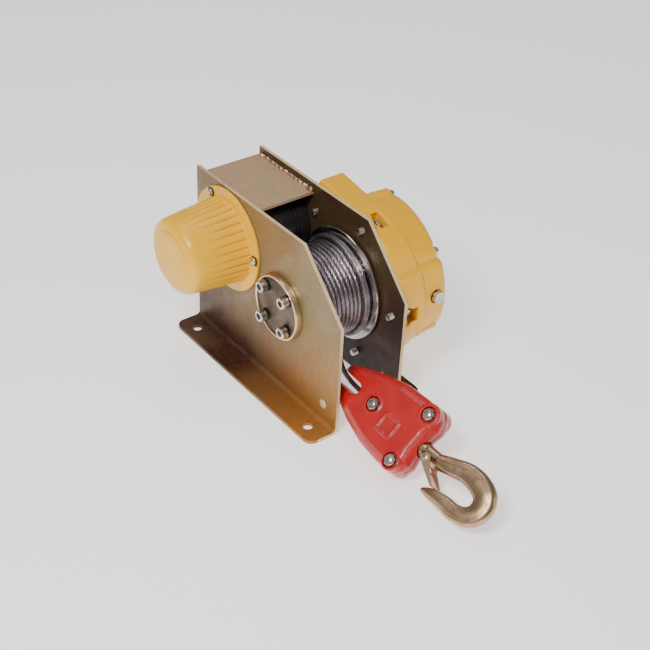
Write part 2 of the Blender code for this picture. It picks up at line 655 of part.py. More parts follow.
def make_gear_case():
    back = FAR_OUT + GAP
    front = FAR_OUT + CASE_DEPTH
    floor = back + CASE_WALL
    along_x = Matrix.Translation((MID_X, 0, 0)) @ FACE_X
    drum_place = Matrix.Translation(on_axis(DRUM_AT)) @ FACE_X
    case = prism("gear_case", pear_outline(CASE_R, CASE_MOTOR_R), back, front, along_x, YELLOW)
    ear = [(ahead(distance), height) for distance, height in EAR]
    case = join(case, prism("ear", ear, back, front, along_x))
    for point, _ in cover_bolt_points():
        lug = facing_far(lifted(point, 0.0))
        case = join(case, rod("lug", LUG_R, front - LUG_DEPTH, front, lug, None))
    room = pear_outline(GEAR_ROOM_R, ROOM_MOTOR_R, bulge=False, steps=24)
    case = cut(case, prism("room", room, floor, front + CLEAR, along_x))
    mouth = pear_outline(MOUTH_R, ROOM_MOTOR_R, bulge=False, steps=24)
    case = cut(case, prism("mouth", mouth, front - MOUTH_DEPTH, front + CLEAR, along_x))
    boss = ring("boss", FAR_BEARING_R + 7 * MM, FAR_BEARING_R - 2 * MM, back,
                back + FAR_BEARING_W + 1 * MM, drum_place, None)
    case = join(case, boss)
    case = cut(case, rod("seat", FAR_BEARING_R + GAP, back - CLEAR, front, drum_place, None,
                         SEG_MID))
    for angle in CASE_BOLT_ANGLES:
        axis = facing_far(around(DRUM_AT, CASE_BOLT_R, angle, back))
        case = cut(case, rod("hole", M8_R + GAP, -CLEAR, 2 * CLEAR, axis, None))
        pocket = facing_far(around(DRUM_AT, CASE_BOLT_R + 4 * MM, angle, back))
        case = cut(case, rod("pocket", CASE_POCKET_R, CASE_BOLT_SEAT, CASE_POCKET_TOP, pocket,
                             None, 20))
        lip = facing_far(around(DRUM_AT, CASE_LIP_R + CASE_LIP_CUT_R, angle, back))
        case = cut(case, rod("lip", CASE_LIP_CUT_R, -CLEAR, CASE_BOLT_SEAT + GAP, lip, None, 20))
    for point, _ in cover_bolt_points():
        hole = facing_far(lifted(point, 0.0))
        case = cut(case, rod("hole", M6_R + GAP, front - 12 * MM, front + CLEAR, hole, None))
    motor_hole = Matrix.Translation(on_axis(MOTOR_AT)) @ FACE_X
    case = cut(case, rod("seal", MOTOR_SHAFT_R + 1 * MM, back - CLEAR, front, motor_hole, None, 16))
    bush_hole = Matrix.Translation(on_axis(countershaft_at())) @ FACE_X
    cut(case, rod("bush_hole", BUSH_R + GAP, back - CLEAR, floor + CLEAR, bush_hole, None, 20))
    ring("drum_bearing_far", FAR_BEARING_R, SHAFT_R + GAP, back, back + FAR_BEARING_W,
         drum_place, STEEL)
    for number, angle in enumerate(CASE_BOLT_ANGLES, 1):
        head = facing_far(around(DRUM_AT, CASE_BOLT_R, angle, back + CASE_BOLT_SEAT + GAP))
        length = CASE_BOLT_SEAT + PLATE_T + 8 * MM
        hex_bolt("case_bolt_%d" % number, M8_FLATS, 6.0 * MM, M8_R, length, head)


def cover_outline(inset):
    """The cover's deep part: full radius in front, less behind its first and last bolts."""
    points = []
    for i in range(SEG_COVER):
        front = 180.0 - 360.0 * i / SEG_COVER
        radius = COVER_REAR_R
        if COVER_FRONT_FROM <= front <= COVER_FRONT_TO:
            radius = COVER_R
        if BULGE_FROM <= front <= BULGE_TO:
            radius += BULGE
        point = around(DRUM_AT, radius - inset, front)
        points.append((point.y, point.z))
    return points


def make_gear_case_cover():
    back = FAR_OUT + CASE_DEPTH + GAP
    end = FAR_OUT + GEARBOX_REACH
    deck = FAR_OUT + DECK_DEPTH
    along_x = Matrix.Translation((MID_X, 0, 0)) @ FACE_X
    steps = ((back, 0.0), (end - 9 * MM, 2.0 * MM), (end - 3 * MM, 5.0 * MM), (end, 11.0 * MM))
    rings = [[(MID_X + height, y, z) for y, z in cover_outline(inset)] for height, inset in steps]
    cover = loft("gear_case_cover", rings, Matrix(), YELLOW)
    shallow = pear_outline(DECK_R, DECK_MOTOR_R, bulge=False)
    cover = join(cover, prism("deck", shallow, back, deck, along_x))
    for point, seat in cover_bolt_points():
        lug = facing_far(lifted(point, 0.0))
        cover = join(cover, rod("lug", LUG_R, back, seat, lug, None))
    drum_place = Matrix.Translation(on_axis(DRUM_AT)) @ FACE_X
    counter_place = Matrix.Translation(on_axis(countershaft_at())) @ FACE_X
    motor_place = Matrix.Translation(on_axis(MOTOR_AT)) @ FACE_X
    for radius, top, place in ((COVER_REAR_R - 12 * MM, end, drum_place),
                               (STAGE_ROOM_R, deck, counter_place),
                               (PINION_ROOM_R, deck, motor_place)):
        cover = cut(cover, rod("room", radius, back - CLEAR, top - COVER_END_WALL, place, None,
                               SEG_MID))
    plug_place = oil_plug_frame()
    cover = join(cover, rod("plug_boss", 11.0 * MM, -12 * MM, 1.0 * MM, plug_place, None, 20))
    cover = cut(cover, rod("plug_hole", M12_R + GAP, -0.03, 0.03, plug_place, None, 16))
    for point, seat in cover_bolt_points():
        hole = facing_far(lifted(point, 0.0))
        cover = cut(cover, rod("hole", M6_R + GAP, back - CLEAR, end + CLEAR, hole, None))
        cover = cut(cover, rod("spot_face", LUG_R - 0.5 * MM, seat, end + CLEAR, hole, None))
    cut(cover, rod("bush_hole", BUSH_R + GAP, deck - 2 * CLEAR, deck - 3 * MM, counter_place,
                   None, 20))
    for number, (point, seat) in enumerate(cover_bolt_points(), 1):
        length = seat - (FAR_OUT + CASE_DEPTH) + 6 * MM
        hex_bolt("cover_bolt_%d" % number, M6_FLATS, 6.0 * MM, M6_R, length,
                 facing_far(lifted(point, seat + GAP)))
    hex_bolt("oil_plug", 15.0 * MM, 6.0 * MM, M12_R, 12.0 * MM,
             plug_place @ Matrix.Translation((0, 0, 1.0 * MM + GAP)))


def oil_plug_frame():
    """Local Z points out of the front of the gearbox cover."""
    across = FAR_OUT + CASE_DEPTH + 19.0 * MM
    point = around(DRUM_AT, COVER_R + BULGE - 2.0 * MM, OIL_PLUG_ANGLE, across)
    return (Matrix.Translation(point)
            @ Matrix.Rotation(math.radians(90.0 - OIL_PLUG_ANGLE), 4, "X"))


# ---------------------------------------------------------------- gears

def gear_outline(module, teeth, phase):
    """Straight-flanked teeth; one tooth is centred on the phase angle, in degrees."""
    pitch_r = module * teeth / 2
    root_r = pitch_r - 1.25 * module
    tip_r = pitch_r + 0.8 * module
    pitch = 360.0 / teeth
    root_half, tip_half = 0.36 * pitch, 0.12 * pitch
    points = []
    for i in range(teeth):
        middle = phase + i * pitch
        corners = ((root_r, -root_half), (tip_r, -tip_half), (tip_r, tip_half), (root_r, root_half))
        for radius, turn in corners:
            angle = math.radians(middle + turn)
            points.append((radius * math.cos(angle), radius * math.sin(angle)))
    return points


def gear(name, module, teeth, phase, bore, low, high, axis_at):
    place = Matrix.Translation(on_axis(axis_at)) @ FACE_X
    made = prism(name, gear_outline(module, teeth, phase), low, high, place, STEEL)
    return cut(made, rod("bore", bore, low - 0.01, high + 0.01, place, None, 20))


def heading(start, end):
    """Angle in the outline's own X and Y from one axis to another, in degrees."""
    return math.degrees(math.atan2(end[1] - start[1], start[0] - end[0]))


def make_gears():
    counter = countershaft_at()
    counter_r = 8.0 * MM
    low = FAR_OUT + CASE_WALL + 9.5 * MM
    high = low + 14.0 * MM
    to_counter = heading(DRUM_AT, counter)
    gear("output_gear", OUTPUT_MODULE, OUTPUT_TEETH, to_counter, SHAFT_R + GAP, low, high, DRUM_AT)
    pinion_phase = to_counter + 180.0 + 180.0 / PINION_TEETH
    gear("reduction_pinion", OUTPUT_MODULE, PINION_TEETH, pinion_phase, counter_r + GAP,
         low - 1 * MM, high + 1 * MM, counter)
    low = FAR_OUT + CASE_DEPTH + 1.0 * MM
    high = low + 10.0 * MM
    to_motor = heading(counter, MOTOR_AT)
    gear("reduction_gear", FIRST_MODULE, FIRST_WHEEL_TEETH, to_motor, counter_r + GAP,
         low, high, counter)
    motor_phase = to_motor + 180.0 + 180.0 / MOTOR_PINION_TEETH
    gear("motor_pinion", FIRST_MODULE, MOTOR_PINION_TEETH, motor_phase, 4.0 * MM,
         low - 1 * MM, high + 1 * MM, MOTOR_AT)
    place = Matrix.Translation(on_axis(counter)) @ FACE_X
    back = FAR_OUT + GAP
    deck = FAR_OUT + DECK_DEPTH
    rod("countershaft", counter_r, back + 0.5 * MM, deck - 3.5 * MM, place, STEEL, 16)
    ring("countershaft_bush_rear", BUSH_R, counter_r + GAP, back, back + CASE_WALL,
         place, BRONZE, 20)
    ring("countershaft_bush_front", BUSH_R, counter_r + GAP, deck - 9.5 * MM,
         deck - 3.5 * MM, place, BRONZE, 20)


# ---------------------------------------------------------------- hook block and free rope

def block_outline(inset=0.0):
    """Half-width at each distance along the block, mirrored about its middle line."""
    half = [(9.0, 129.0), (17.0, 127.0), (24.0, 112.0), (34.0, 86.0), (43.0, 52.0),
            (45.5, 20.0), (45.0, 0.0), (42.5, -9.0), (35.0, -16.0), (25.0, -19.0), (12.0, -16.0)]
    right = [Vector((x * MM, y * MM)) for x, y in half]
    left = [Vector((-p.x, p.y)) for p in reversed(right)]
    points = right + left
    moved = []
    for i, point in enumerate(points):
        before, after = points[i - 1], points[(i + 1) % len(points)]
        run = (after - before).normalized()
        moved.append(point + Vector((run.y, -run.x)) * inset)
    return moved


def block_shell(name, side):
    """One half of the block; side is 1 for the upper half and -1 for the lower."""
    steps = ((0.0, GAP / 2), (0.5 * MM, 9 * MM), (3.0 * MM, 14.5 * MM), (9.0 * MM, BLOCK_HALF_T))
    rings = []
    for inset, height in steps:
        rings.append([(p.x, p.y, side * height) for p in block_outline(inset)])
    shell = loft(name, rings, BLOCK_FRAME, RED)
    for x, y in block_bolt_points():
        spot = BLOCK_FRAME @ Matrix.Translation((x, y, 0))
        low, high = sorted((side * 2 * MM, side * (BLOCK_HALF_T + 0.6 * MM)))
        shell = join(shell, rod("boss", 11.6 * MM, low, high, spot, None, 20))
    mouth = [(-MOUTH_HALF, 0.14), (-MOUTH_HALF, MOUTH_END_Y + MOUTH_HALF)]
    mouth += arc((0, MOUTH_END_Y + MOUTH_HALF), MOUTH_HALF, 180, 360, 8)[1:]
    mouth += [(MOUTH_HALF, 0.14)]
    shell = cut(shell, prism("mouth", mouth, -0.03, 0.03, BLOCK_FRAME))
    channel = [(0.0, -60 * MM), (4.5 * MM, -60 * MM), (4.5 * MM, -0.1), (0.0, -0.1)]
    shell = cut(shell, turned("channel", channel, BLOCK_ALONG, None, 16))
    pin = BLOCK_FRAME @ Matrix.Translation((0, BLOCK_PIN_Y, 0))
    shell = cut(shell, rod("thimble_room", 10.0 * MM, -4.9 * MM, 4.9 * MM, pin, None, 24))
    room = [(0.0, 30 * MM), (SHANK_R + 1.0 * MM, 30 * MM), (SHANK_R + 1.0 * MM, 6 * MM),
            (14.3 * MM, 6 * MM), (14.3 * MM, -22 * MM), (0.0, -22 * MM)]
    shell = cut(shell, turned("shank_room", room, BLOCK_ALONG, None, 20))
    for x, y in block_bolt_points():
        spot = BLOCK_FRAME @ Matrix.Translation((x, y, 0))
        shell = cut(shell, rod("hole", 4.0 * MM + GAP, -0.03, 0.03, spot, None))
        low, high = sorted((side * (BLOCK_HALF_T - 5 * MM), side * (BLOCK_HALF_T + 5 * MM)))
        shell = cut(shell, rod("seat", 8.5 * MM, low, high, spot, None, 20))


def block_bolt_points():
    return ((0.0, BLOCK_PIN_Y), (BLOCK_BOLT_SPAN, 0.0), (-BLOCK_BOLT_SPAN, 0.0))


def make_block():
    block_shell("block_shell_upper", 1)
    block_shell("block_shell_lower", -1)
    seat = BLOCK_HALF_T - 5 * MM
    for number, (x, y) in enumerate(block_bolt_points(), 1):
        spot = BLOCK_FRAME @ Matrix.Translation((x, y, 0))
        upside_down = spot @ Matrix.Rotation(math.pi, 4, "X")
        head = upside_down @ Matrix.Translation((0, 0, seat + GAP))
        hex_bolt("block_bolt_%d" % number, 13.0 * MM, 4.6 * MM, 4.0 * MM, 2 * seat + 8.5 * MM, head)
        nut = prism("block_nut_%d" % number, hexagon(13.0 * MM), seat + GAP, seat + 7 * MM, spot,
                    FASTENER)
        cut(nut, rod("thread", 4.0 * MM + GAP, 0.0, 0.03, spot, None))
    pin = BLOCK_FRAME @ Matrix.Translation((0, BLOCK_PIN_Y, 0))
    profile = [(9.5 * MM, 4 * MM), (7.0 * MM, 1 * MM), (7.0 * MM, -1 * MM), (9.5 * MM, -4 * MM),
               (4.0 * MM + GAP, -4 * MM), (4.0 * MM + GAP, 4 * MM)]
    turned("rope_thimble", profile, pin, FASTENER, 20, closed=True)


def smooth_route(points, steps):
    """A Catmull-Rom curve through the points."""
    padded = [points[0] * 2 - points[1], *points, points[-1] * 2 - points[-2]]
    route = []
    for a, b, c, d in zip(padded, padded[1:], padded[2:], padded[3:]):
        for i in range(steps):
            t = i / steps
            route.append(0.5 * (2 * b + (c - a) * t + (2 * a - 5 * b + 4 * c - d) * t ** 2
                                + (3 * b - a - 3 * c + d) * t ** 3))
    return route + [points[-1]]


def make_free_rope():
    knots = [Vector((MID_X + x * MM, ahead(distance * MM), z * MM)) for x, distance, z in ROPE_ROUTE]
    curve = bpy.data.curves.new("free_rope", "CURVE")
    curve.dimensions = "3D"
    curve.bevel_depth = ROPE_D / 2
    curve.bevel_resolution = 2
    curve.use_fill_caps = True
    points = smooth_route(knots, 2)
    spline = curve.splines.new("POLY")
    spline.points.add(len(points) - 1)
    for point, place in zip(spline.points, points):
        point.co = (*place, 1.0)
    to_mesh(add_object("free_rope", curve, Matrix(), ROPE))


# ---------------------------------------------------------------- hook and latch

HOOK_SECTIONS = (                    # across, along, half-width, half-thickness, in mm
    (0.0, 16.0, 9.5, 9.5), (0.0, -19.5, 9.5, 9.5), (0.0, -21.0, 9.5, 6.5),
    (0.5, -37.0, 9.5, 6.5), (1.5, -40.0, 9.5, 9.0), (7.5, -58.0, 10.8, 9.0),
    (13.0, -75.0, 12.0, 9.0), (13.0, -92.0, 13.0, 9.0), (8.0, -107.0, 13.4, 9.0),
    (-2.0, -115.5, 13.2, 9.0), (-14.0, -115.0, 12.4, 9.0), (-23.5, -106.5, 11.2, 9.0),
    (-28.0, -93.0, 10.0, 9.0), (-28.5, -78.0, 9.4, 9.0), (-29.5, -66.0, 8.2, 8.2),
    (-31.5, -54.0, 6.2, 6.2), (-33.5, -46.0, 3.2, 3.2),
)
LATCH_PIVOT = (-4.3 * MM, -29.0 * MM)
LATCH_HALF = 12.0 * MM
LATCH_SHEET = 1.6 * MM
LATCH_EAR_R = 6.0 * MM
LATCH_LENGTH = 33.0 * MM
LATCH_LEAN = math.radians(28.0)
LATCH_PIN_R = 2.0 * MM


def hook_rings():
    rings = []
    last = len(HOOK_SECTIONS) - 1
    middles = [Vector((x, y, 0.0)) * MM for x, y, _, _ in HOOK_SECTIONS]
    for i, (_, _, half, thick) in enumerate(HOOK_SECTIONS):
        run = (middles[min(i + 1, last)] - middles[max(i - 1, 0)]).normalized()
        side = Vector((run.y, -run.x, 0.0))
        points = []
        for k in range(SEG_SMALL):
            angle = 2 * math.pi * k / SEG_SMALL
            offset = side * (half * MM * math.cos(angle))
            points.append(middles[i] + offset + Vector((0, 0, thick * MM * math.sin(angle))))
        rings.append(points)
    return rings


def make_hook():
    hook = loft("hook", hook_rings(), BLOCK_FRAME, FORGED)
    pivot = BLOCK_FRAME @ Matrix.Translation((*LATCH_PIVOT, 0))
    cut(hook, rod("pin_hole", LATCH_PIN_R + GAP, -0.02, 0.02, pivot, None))
    ring("hook_collar", 14.0 * MM, SHANK_R + GAP, -5.5 * MM, 4.5 * MM, BLOCK_ALONG, FASTENER, 20)
    rod("latch_pin", LATCH_PIN_R, -13 * MM, 13 * MM, pivot, FASTENER)
    ring("latch_spring", 4.2 * MM, LATCH_PIN_R + GAP, 6.9 * MM, 9.9 * MM, pivot, STEEL)
    make_latch(pivot)


def make_latch(pivot):
    """A sheet channel that straddles the hook's neck, with its web on the open side."""
    place = pivot @ Matrix.Rotation(-LATCH_LEAN, 4, "Z")
    ear = arc((0, 0), LATCH_EAR_R, 0, 180, 6)
    tip_x = 1 * MM - LATCH_EAR_R
    blade = [(-LATCH_EAR_R, -14 * MM), (tip_x, -LATCH_LENGTH),
             (tip_x + 2.5 * MM, -LATCH_LENGTH), (0.0, -14 * MM)]
    latch = prism("hook_latch", ear + blade, -LATCH_HALF, LATCH_HALF, place, FASTENER)
    far = 20 * MM
    inner = [(far, far), (-far, far), (-far, -9 * MM), (LATCH_SHEET - LATCH_EAR_R, -12 * MM),
             (LATCH_SHEET + tip_x, -2 * far), (far, -2 * far)]
    half = LATCH_HALF - LATCH_SHEET
    latch = cut(latch, prism("inside", inner, -half, half, place))
    cut(latch, rod("pin_hole", LATCH_PIN_R + GAP, -far, far, place, None))


# ---------------------------------------------------------------- build

make_side_plates()
make_top_plate()
make_near_bearing()
make_drum()
make_motor()
make_gear_case()
make_gear_case_cover()
make_gears()
make_block()
make_free_rope()
make_hook()
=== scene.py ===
"""Looks of the wire rope puller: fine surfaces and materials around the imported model."""

import json
import math

import bmesh
import bpy
from mathutils import Matrix, Vector


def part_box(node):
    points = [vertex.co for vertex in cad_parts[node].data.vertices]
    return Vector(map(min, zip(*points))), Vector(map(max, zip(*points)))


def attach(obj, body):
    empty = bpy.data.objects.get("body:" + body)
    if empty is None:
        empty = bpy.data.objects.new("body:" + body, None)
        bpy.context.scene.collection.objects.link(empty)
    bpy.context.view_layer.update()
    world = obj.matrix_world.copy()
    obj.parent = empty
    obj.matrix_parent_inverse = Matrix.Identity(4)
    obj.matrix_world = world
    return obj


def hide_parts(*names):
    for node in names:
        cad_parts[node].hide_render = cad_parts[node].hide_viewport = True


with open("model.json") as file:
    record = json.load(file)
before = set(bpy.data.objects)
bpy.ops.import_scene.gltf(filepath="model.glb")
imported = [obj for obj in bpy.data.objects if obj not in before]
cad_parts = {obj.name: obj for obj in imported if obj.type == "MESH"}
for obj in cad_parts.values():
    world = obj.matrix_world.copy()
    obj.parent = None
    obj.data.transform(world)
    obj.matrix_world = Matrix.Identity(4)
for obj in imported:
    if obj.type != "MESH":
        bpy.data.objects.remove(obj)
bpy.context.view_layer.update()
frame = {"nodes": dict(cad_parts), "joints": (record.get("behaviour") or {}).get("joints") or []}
NODES = frame["nodes"]
JOINTS = {joint["name"]: joint for joint in frame["joints"]}

MM = 0.001
INSIDE = 0.05 * MM                  # kept clear of the CAD box where a face lies on it
ROPE_D = 6.0 * MM
ROPE_LAY = 38.0 * MM                # length along the rope in which a strand goes once round
STRANDS = 6

DRUM = Vector(JOINTS["drum_spin"]["pos_m"])
MOTOR = Vector(JOINTS["rotor_spin"]["pos_m"])
MID_X = DRUM.x
PLATE_T = 4.5 * MM
NEAR_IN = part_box("side_plate_near")[1].x - MID_X
FAR_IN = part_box("side_plate_far")[0].x - MID_X
FAR_OUT = FAR_IN + PLATE_T
BACK_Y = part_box("side_plate_near")[1].y     # the plates' rear edge; distances run forward from it

# Local X, Y and Z along world Y, Z and X
FACE_X = Matrix(((0, 0, 1), (1, 0, 0), (0, 1, 0))).to_4x4()
AT_DRUM = Matrix.Translation(DRUM) @ FACE_X
AT_MOTOR = Matrix.Translation(MOTOR) @ FACE_X


def block_frame():
    """Local -Y along the hook's shank and local Z out of the block's upper face."""
    along = Vector(JOINTS["hook_swivel"]["axis"]).normalized()
    up = Vector(JOINTS["hook_latch"]["axis"]).normalized()
    side = (-along).cross(up).normalized()
    turn = Matrix((side, -along, up)).transposed().to_4x4()
    return Matrix.Translation(Vector(JOINTS["hook_swivel"]["pos_m"])) @ turn


BLOCK = block_frame()


# ---- camera, light and floor

CAMERA_PLACE = (-0.7758, -1.02018, 0.97397)
CAMERA_AZIMUTH, CAMERA_ELEVATION, CAMERA_ROLL = -39.0, 35.6204, 2.874      # degrees
CAMERA_LENS, CAMERA_SENSOR = 70.75, 36.0
FLOOR_SIZE = 8.0
FLOOR_LEVEL = -0.4 * MM             # just under the feet, so that the faces don't coincide
FLOOR_GLOW = 0.8
WORLD_LIGHT = 0.30
LIGHT_TARGET = (0.0, -0.05, 0.1)


def make_camera():
    """Looks from the photograph's viewing angle."""
    azimuth, elevation, roll = (math.radians(angle) for angle in (
        CAMERA_AZIMUTH, CAMERA_ELEVATION, CAMERA_ROLL))
    back = Vector((math.sin(azimuth) * math.cos(elevation),
                   -math.cos(azimuth) * math.cos(elevation), math.sin(elevation)))
    level = Vector((0, 0, 1)).cross(back).normalized()
    upright = back.cross(level)
    right = level * math.cos(roll) + upright * math.sin(roll)
    up = upright * math.cos(roll) - level * math.sin(roll)
    data = bpy.data.cameras.new("camera")
    data.lens = CAMERA_LENS
    data.sensor_width = CAMERA_SENSOR
    camera = bpy.data.objects.new("camera", data)
    camera.matrix_world = Matrix((right, up, back)).transposed().to_4x4()
    camera.matrix_world.translation = Vector(CAMERA_PLACE)
    bpy.context.scene.collection.objects.link(camera)
    bpy.context.scene.camera = camera


def area_light(name, place, size, power, colour=(1.0, 1.0, 1.0)):
    data = bpy.data.lights.new(name, "AREA")
    data.shape = "DISK"
    data.size = size
    data.energy = power
    data.color = colour
    light = bpy.data.objects.new(name, data)
    light.location = place
    away = Vector(place) - Vector(LIGHT_TARGET)
    light.rotation_euler = away.to_track_quat("Z", "Y").to_euler()
    bpy.context.scene.collection.objects.link(light)


def make_studio():
    bpy.ops.mesh.primitive_plane_add(size=FLOOR_SIZE, location=(0, 0, FLOOR_LEVEL))
    floor = bpy.context.object
    floor.name = "floor"
    floor.data.materials.append(pale_floor())
    world = bpy.data.worlds.new("studio")
    world.use_nodes = True
    background = world.node_tree.nodes["Background"]
    background.inputs["Color"].default_value = (1, 1, 1, 1)
    background.inputs["Strength"].default_value = WORLD_LIGHT
    bpy.context.scene.world = world
    area_light("key", (-0.95, -0.55, 1.35), 0.5, 21.0, (1.0, 0.98, 0.95))
    area_light("fill", (0.9, -1.4, 0.7), 0.9, 3.0)
    area_light("top", (0.15, 0.4, 1.6), 0.7, 4.0)


# ---- material building

class Recipe:
    """A node material: a few short calls that wire noise into colour, roughness and bump."""

    def __init__(self, name, roughness, metallic=0.0, coat=0.0):
        self.material = bpy.data.materials.new(name)
        self.material.use_nodes = True
        self.tree = self.material.node_tree
        self.shader = self.tree.nodes["Principled BSDF"]
        self.shader.inputs["Roughness"].default_value = roughness
        self.shader.inputs["Metallic"].default_value = metallic
        self.shader.inputs["Coat Weight"].default_value = coat
        self.shader.inputs["Coat Roughness"].default_value = 0.25
        self.where = self.add("ShaderNodeTexCoord").outputs["Object"]
        self.bump_input = None

    def add(self, kind, **inputs):
        node = self.tree.nodes.new(kind)
        for key, value in inputs.items():
            node.inputs[key.replace("_", " ")].default_value = value
        return node

    def link(self, source, target):
        self.tree.links.new(source, target)

    def stretched(self, scale):
        mapping = self.add("ShaderNodeMapping")
        mapping.inputs["Scale"].default_value = scale
        self.link(self.where, mapping.inputs["Vector"])
        return mapping.outputs["Vector"]

    def noise(self, scale, detail=4.0, roughness=0.55, vector=None):
        node = self.add("ShaderNodeTexNoise", Scale=scale, Detail=detail, Roughness=roughness)
        self.link(vector or self.where, node.inputs["Vector"])
        return node.outputs["Fac"]

    def ramp(self, source, stops):
        node = self.add("ShaderNodeValToRGB")
        elements = node.color_ramp.elements
        while len(elements) < len(stops):
            elements.new(0.5)
        for element, (position, colour) in zip(elements, stops):
            element.position = position
            element.color = (*colour, 1.0)
        self.link(source, node.inputs["Fac"])
        return node.outputs["Color"]

    def span(self, source, low, high, out_low, out_high):
        node = self.add("ShaderNodeMapRange")
        for key, value in (("From Min", low), ("From Max", high), ("To Min", out_low),
                           ("To Max", out_high)):
            node.inputs[key].default_value = value
        self.link(source, node.inputs["Value"])
        return node.outputs["Result"]

    def axis(self, index):
        node = self.add("ShaderNodeSeparateXYZ")
        self.link(self.where, node.inputs["Vector"])
        return node.outputs[index]

    def mix(self, factor, first, second, blend="MIX"):
        node = self.add("ShaderNodeMix")
        node.data_type = "RGBA"
        node.blend_type = blend
        for value, socket in ((factor, node.inputs[0]), (first, node.inputs[6]),
                              (second, node.inputs[7])):
            if isinstance(value, bpy.types.NodeSocket):
                self.link(value, socket)
            elif isinstance(value, tuple):
                socket.default_value = (*value, 1.0)
            else:
                socket.default_value = value
        return node.outputs[2]

    def edges(self, low, high):
        node = self.add("ShaderNodeNewGeometry")
        return self.span(node.outputs["Pointiness"], low, high, 0.0, 1.0)

    # Mask for painted shade: one in hollows, where shade falls, zero on open surfaces.
    def hollows(self, low=0.4, high=0.49):
        node = self.add("ShaderNodeNewGeometry")
        return self.span(node.outputs["Pointiness"], low, high, 1.0, 0.0)

    def colour(self, source):
        self.link(source, self.shader.inputs["Base Color"])

    def rough(self, source, low, high):
        self.link(self.span(source, 0.3, 0.7, low, high), self.shader.inputs["Roughness"])

    def bump(self, source, strength, distance):
        node = self.add("ShaderNodeBump", Strength=strength, Distance=distance)
        self.link(source, node.inputs["Height"])
        if self.bump_input is not None:
            self.link(self.bump_input, node.inputs["Normal"])
        self.bump_input = node.outputs["Normal"]
        self.link(self.bump_input, self.shader.inputs["Normal"])


def pale_floor():
    recipe = Recipe("floor_white", 0.9)
    recipe.colour(recipe.ramp(recipe.noise(3.0), [(0.3, (0.93, 0.93, 0.93)),
                                                  (0.7, (0.95, 0.95, 0.95))]))
    recipe.shader.inputs["Emission Color"].default_value = (1.0, 1.0, 1.0, 1.0)
    recipe.shader.inputs["Emission Strength"].default_value = FLOOR_GLOW
    return recipe.material


def zinc_plate(name, warm, cool, dark, metallic, shade_low_rear=None, low_front=None):
    """Yellow passivated zinc: patches of olive and tan, and, where the low colours are given,
    painted shade near the ground at the rear going to the front low colour further forward.
    """
    recipe = Recipe(name, 0.42, metallic)
    patches = recipe.noise(9.0, 3.0, 0.5)
    tint = recipe.ramp(patches, [(0.34, cool), (0.52, warm), (0.7, dark)])
    # Painted shade near the ground: the colour goes over to the rear low colour, and towards the
    # front low colour further forward.
    if shade_low_rear:
        wander = recipe.noise(14.0, 4.0)
        low = recipe.add("ShaderNodeMath")
        low.operation = "MULTIPLY"
        recipe.link(recipe.span(recipe.axis(2), 0.015, 0.15, 1.0, 0.0), low.inputs[0])
        recipe.link(recipe.span(wander, 0.25, 0.6, 0.55, 1.0), low.inputs[1])
        forward = recipe.span(recipe.axis(1), 0.03, -0.13, 0.0, 1.0)
        tint = recipe.mix(low.outputs[0], tint, recipe.mix(forward, shade_low_rear, low_front))
    fine = recipe.noise(160.0, 6.0, 0.6)
    tint = recipe.mix(recipe.span(fine, 0.4, 0.75, 0.0, 0.45), tint, dark)
    pits = recipe.noise(420.0, 2.0, 0.5)
    tint = recipe.mix(recipe.span(pits, 0.66, 0.72, 0.0, 0.7), tint, (0.05, 0.03, 0.02))
    recipe.colour(tint)
    recipe.rough(recipe.noise(55.0, 5.0), 0.32, 0.55)
    recipe.bump(fine, 0.12, 0.0004)
    return recipe.material


def painted(name, colour, light, dark, grain=0.0006, coat=0.35, edge_highlight_colour=None):
    """Thick enamel with a little orange peel, painted shade darkening the hollows, and a painted
    highlight on edges where its colour is given.
    """
    recipe = Recipe(name, 0.36, 0.0, coat)
    cloud = recipe.noise(14.0, 3.0)
    tint = recipe.mix(recipe.span(cloud, 0.35, 0.7, 0.0, 0.5), colour, light)
    # Painted shade: the dark colour fills the hollows, where shade falls.
    tint = recipe.mix(recipe.hollows(), tint, dark)
    # Painted highlight: a lighter colour on the edges, broken up by fine noise.
    if edge_highlight_colour is not None:
        highlight_breakup = recipe.noise(230.0, 5.0, 0.7)
        edges = recipe.ramp(recipe.edges(0.56, 0.66), [(0.0, (0, 0, 0)), (1.0, (1, 1, 1))])
        highlit_edges = recipe.mix(recipe.span(highlight_breakup, 0.55, 0.62, 0.0, 1.0), (0.0, 0.0, 0.0), edges)
        tint = recipe.mix(highlit_edges, tint, edge_highlight_colour)
    recipe.colour(tint)
    recipe.rough(recipe.noise(40.0, 4.0), 0.28, 0.48)
    recipe.bump(recipe.noise(420.0, 3.0), 0.25, grain)
    recipe.bump(recipe.noise(70.0, 3.0), 0.2, grain)
    return recipe.material


def turned_steel(name, colour, dark, roughness):
    """Machined about the X axis: fine rings in the bump, smudges in the colour and roughness."""
    recipe = Recipe(name, roughness, 1.0)
    lathe_marks = recipe.noise(900.0, 2.0, 0.5, recipe.stretched((1.0, 0.02, 0.02)))
    smudge = recipe.noise(26.0, 4.0)
    recipe.colour(recipe.mix(recipe.span(smudge, 0.4, 0.75, 0.0, 0.8), colour, dark))
    recipe.rough(smudge, roughness * 0.75, roughness * 1.35)
    recipe.bump(lathe_marks, 0.08, 0.0003)
    return recipe.material


def metal(name, colour, dark, low, high, grain=0.0002, scale=220.0, metallic=1.0):
    """Clouds of two tones, darkened in hollows by painted shade, with roughness from low to high.
    """
    recipe = Recipe(name, (low + high) / 2, metallic)
    cloud = recipe.noise(45.0, 4.0)
    tint = recipe.mix(recipe.span(cloud, 0.35, 0.7, 0.0, 1.0), colour, dark)
    # Painted shade: the hollows go to a third of the dark tone.
    tint = recipe.mix(recipe.hollows(), tint, tuple(c * 0.3 for c in dark))
    recipe.colour(tint)
    recipe.rough(recipe.noise(90.0, 4.0), low, high)
    recipe.bump(recipe.noise(scale, 5.0), 0.25, grain)
    return recipe.material
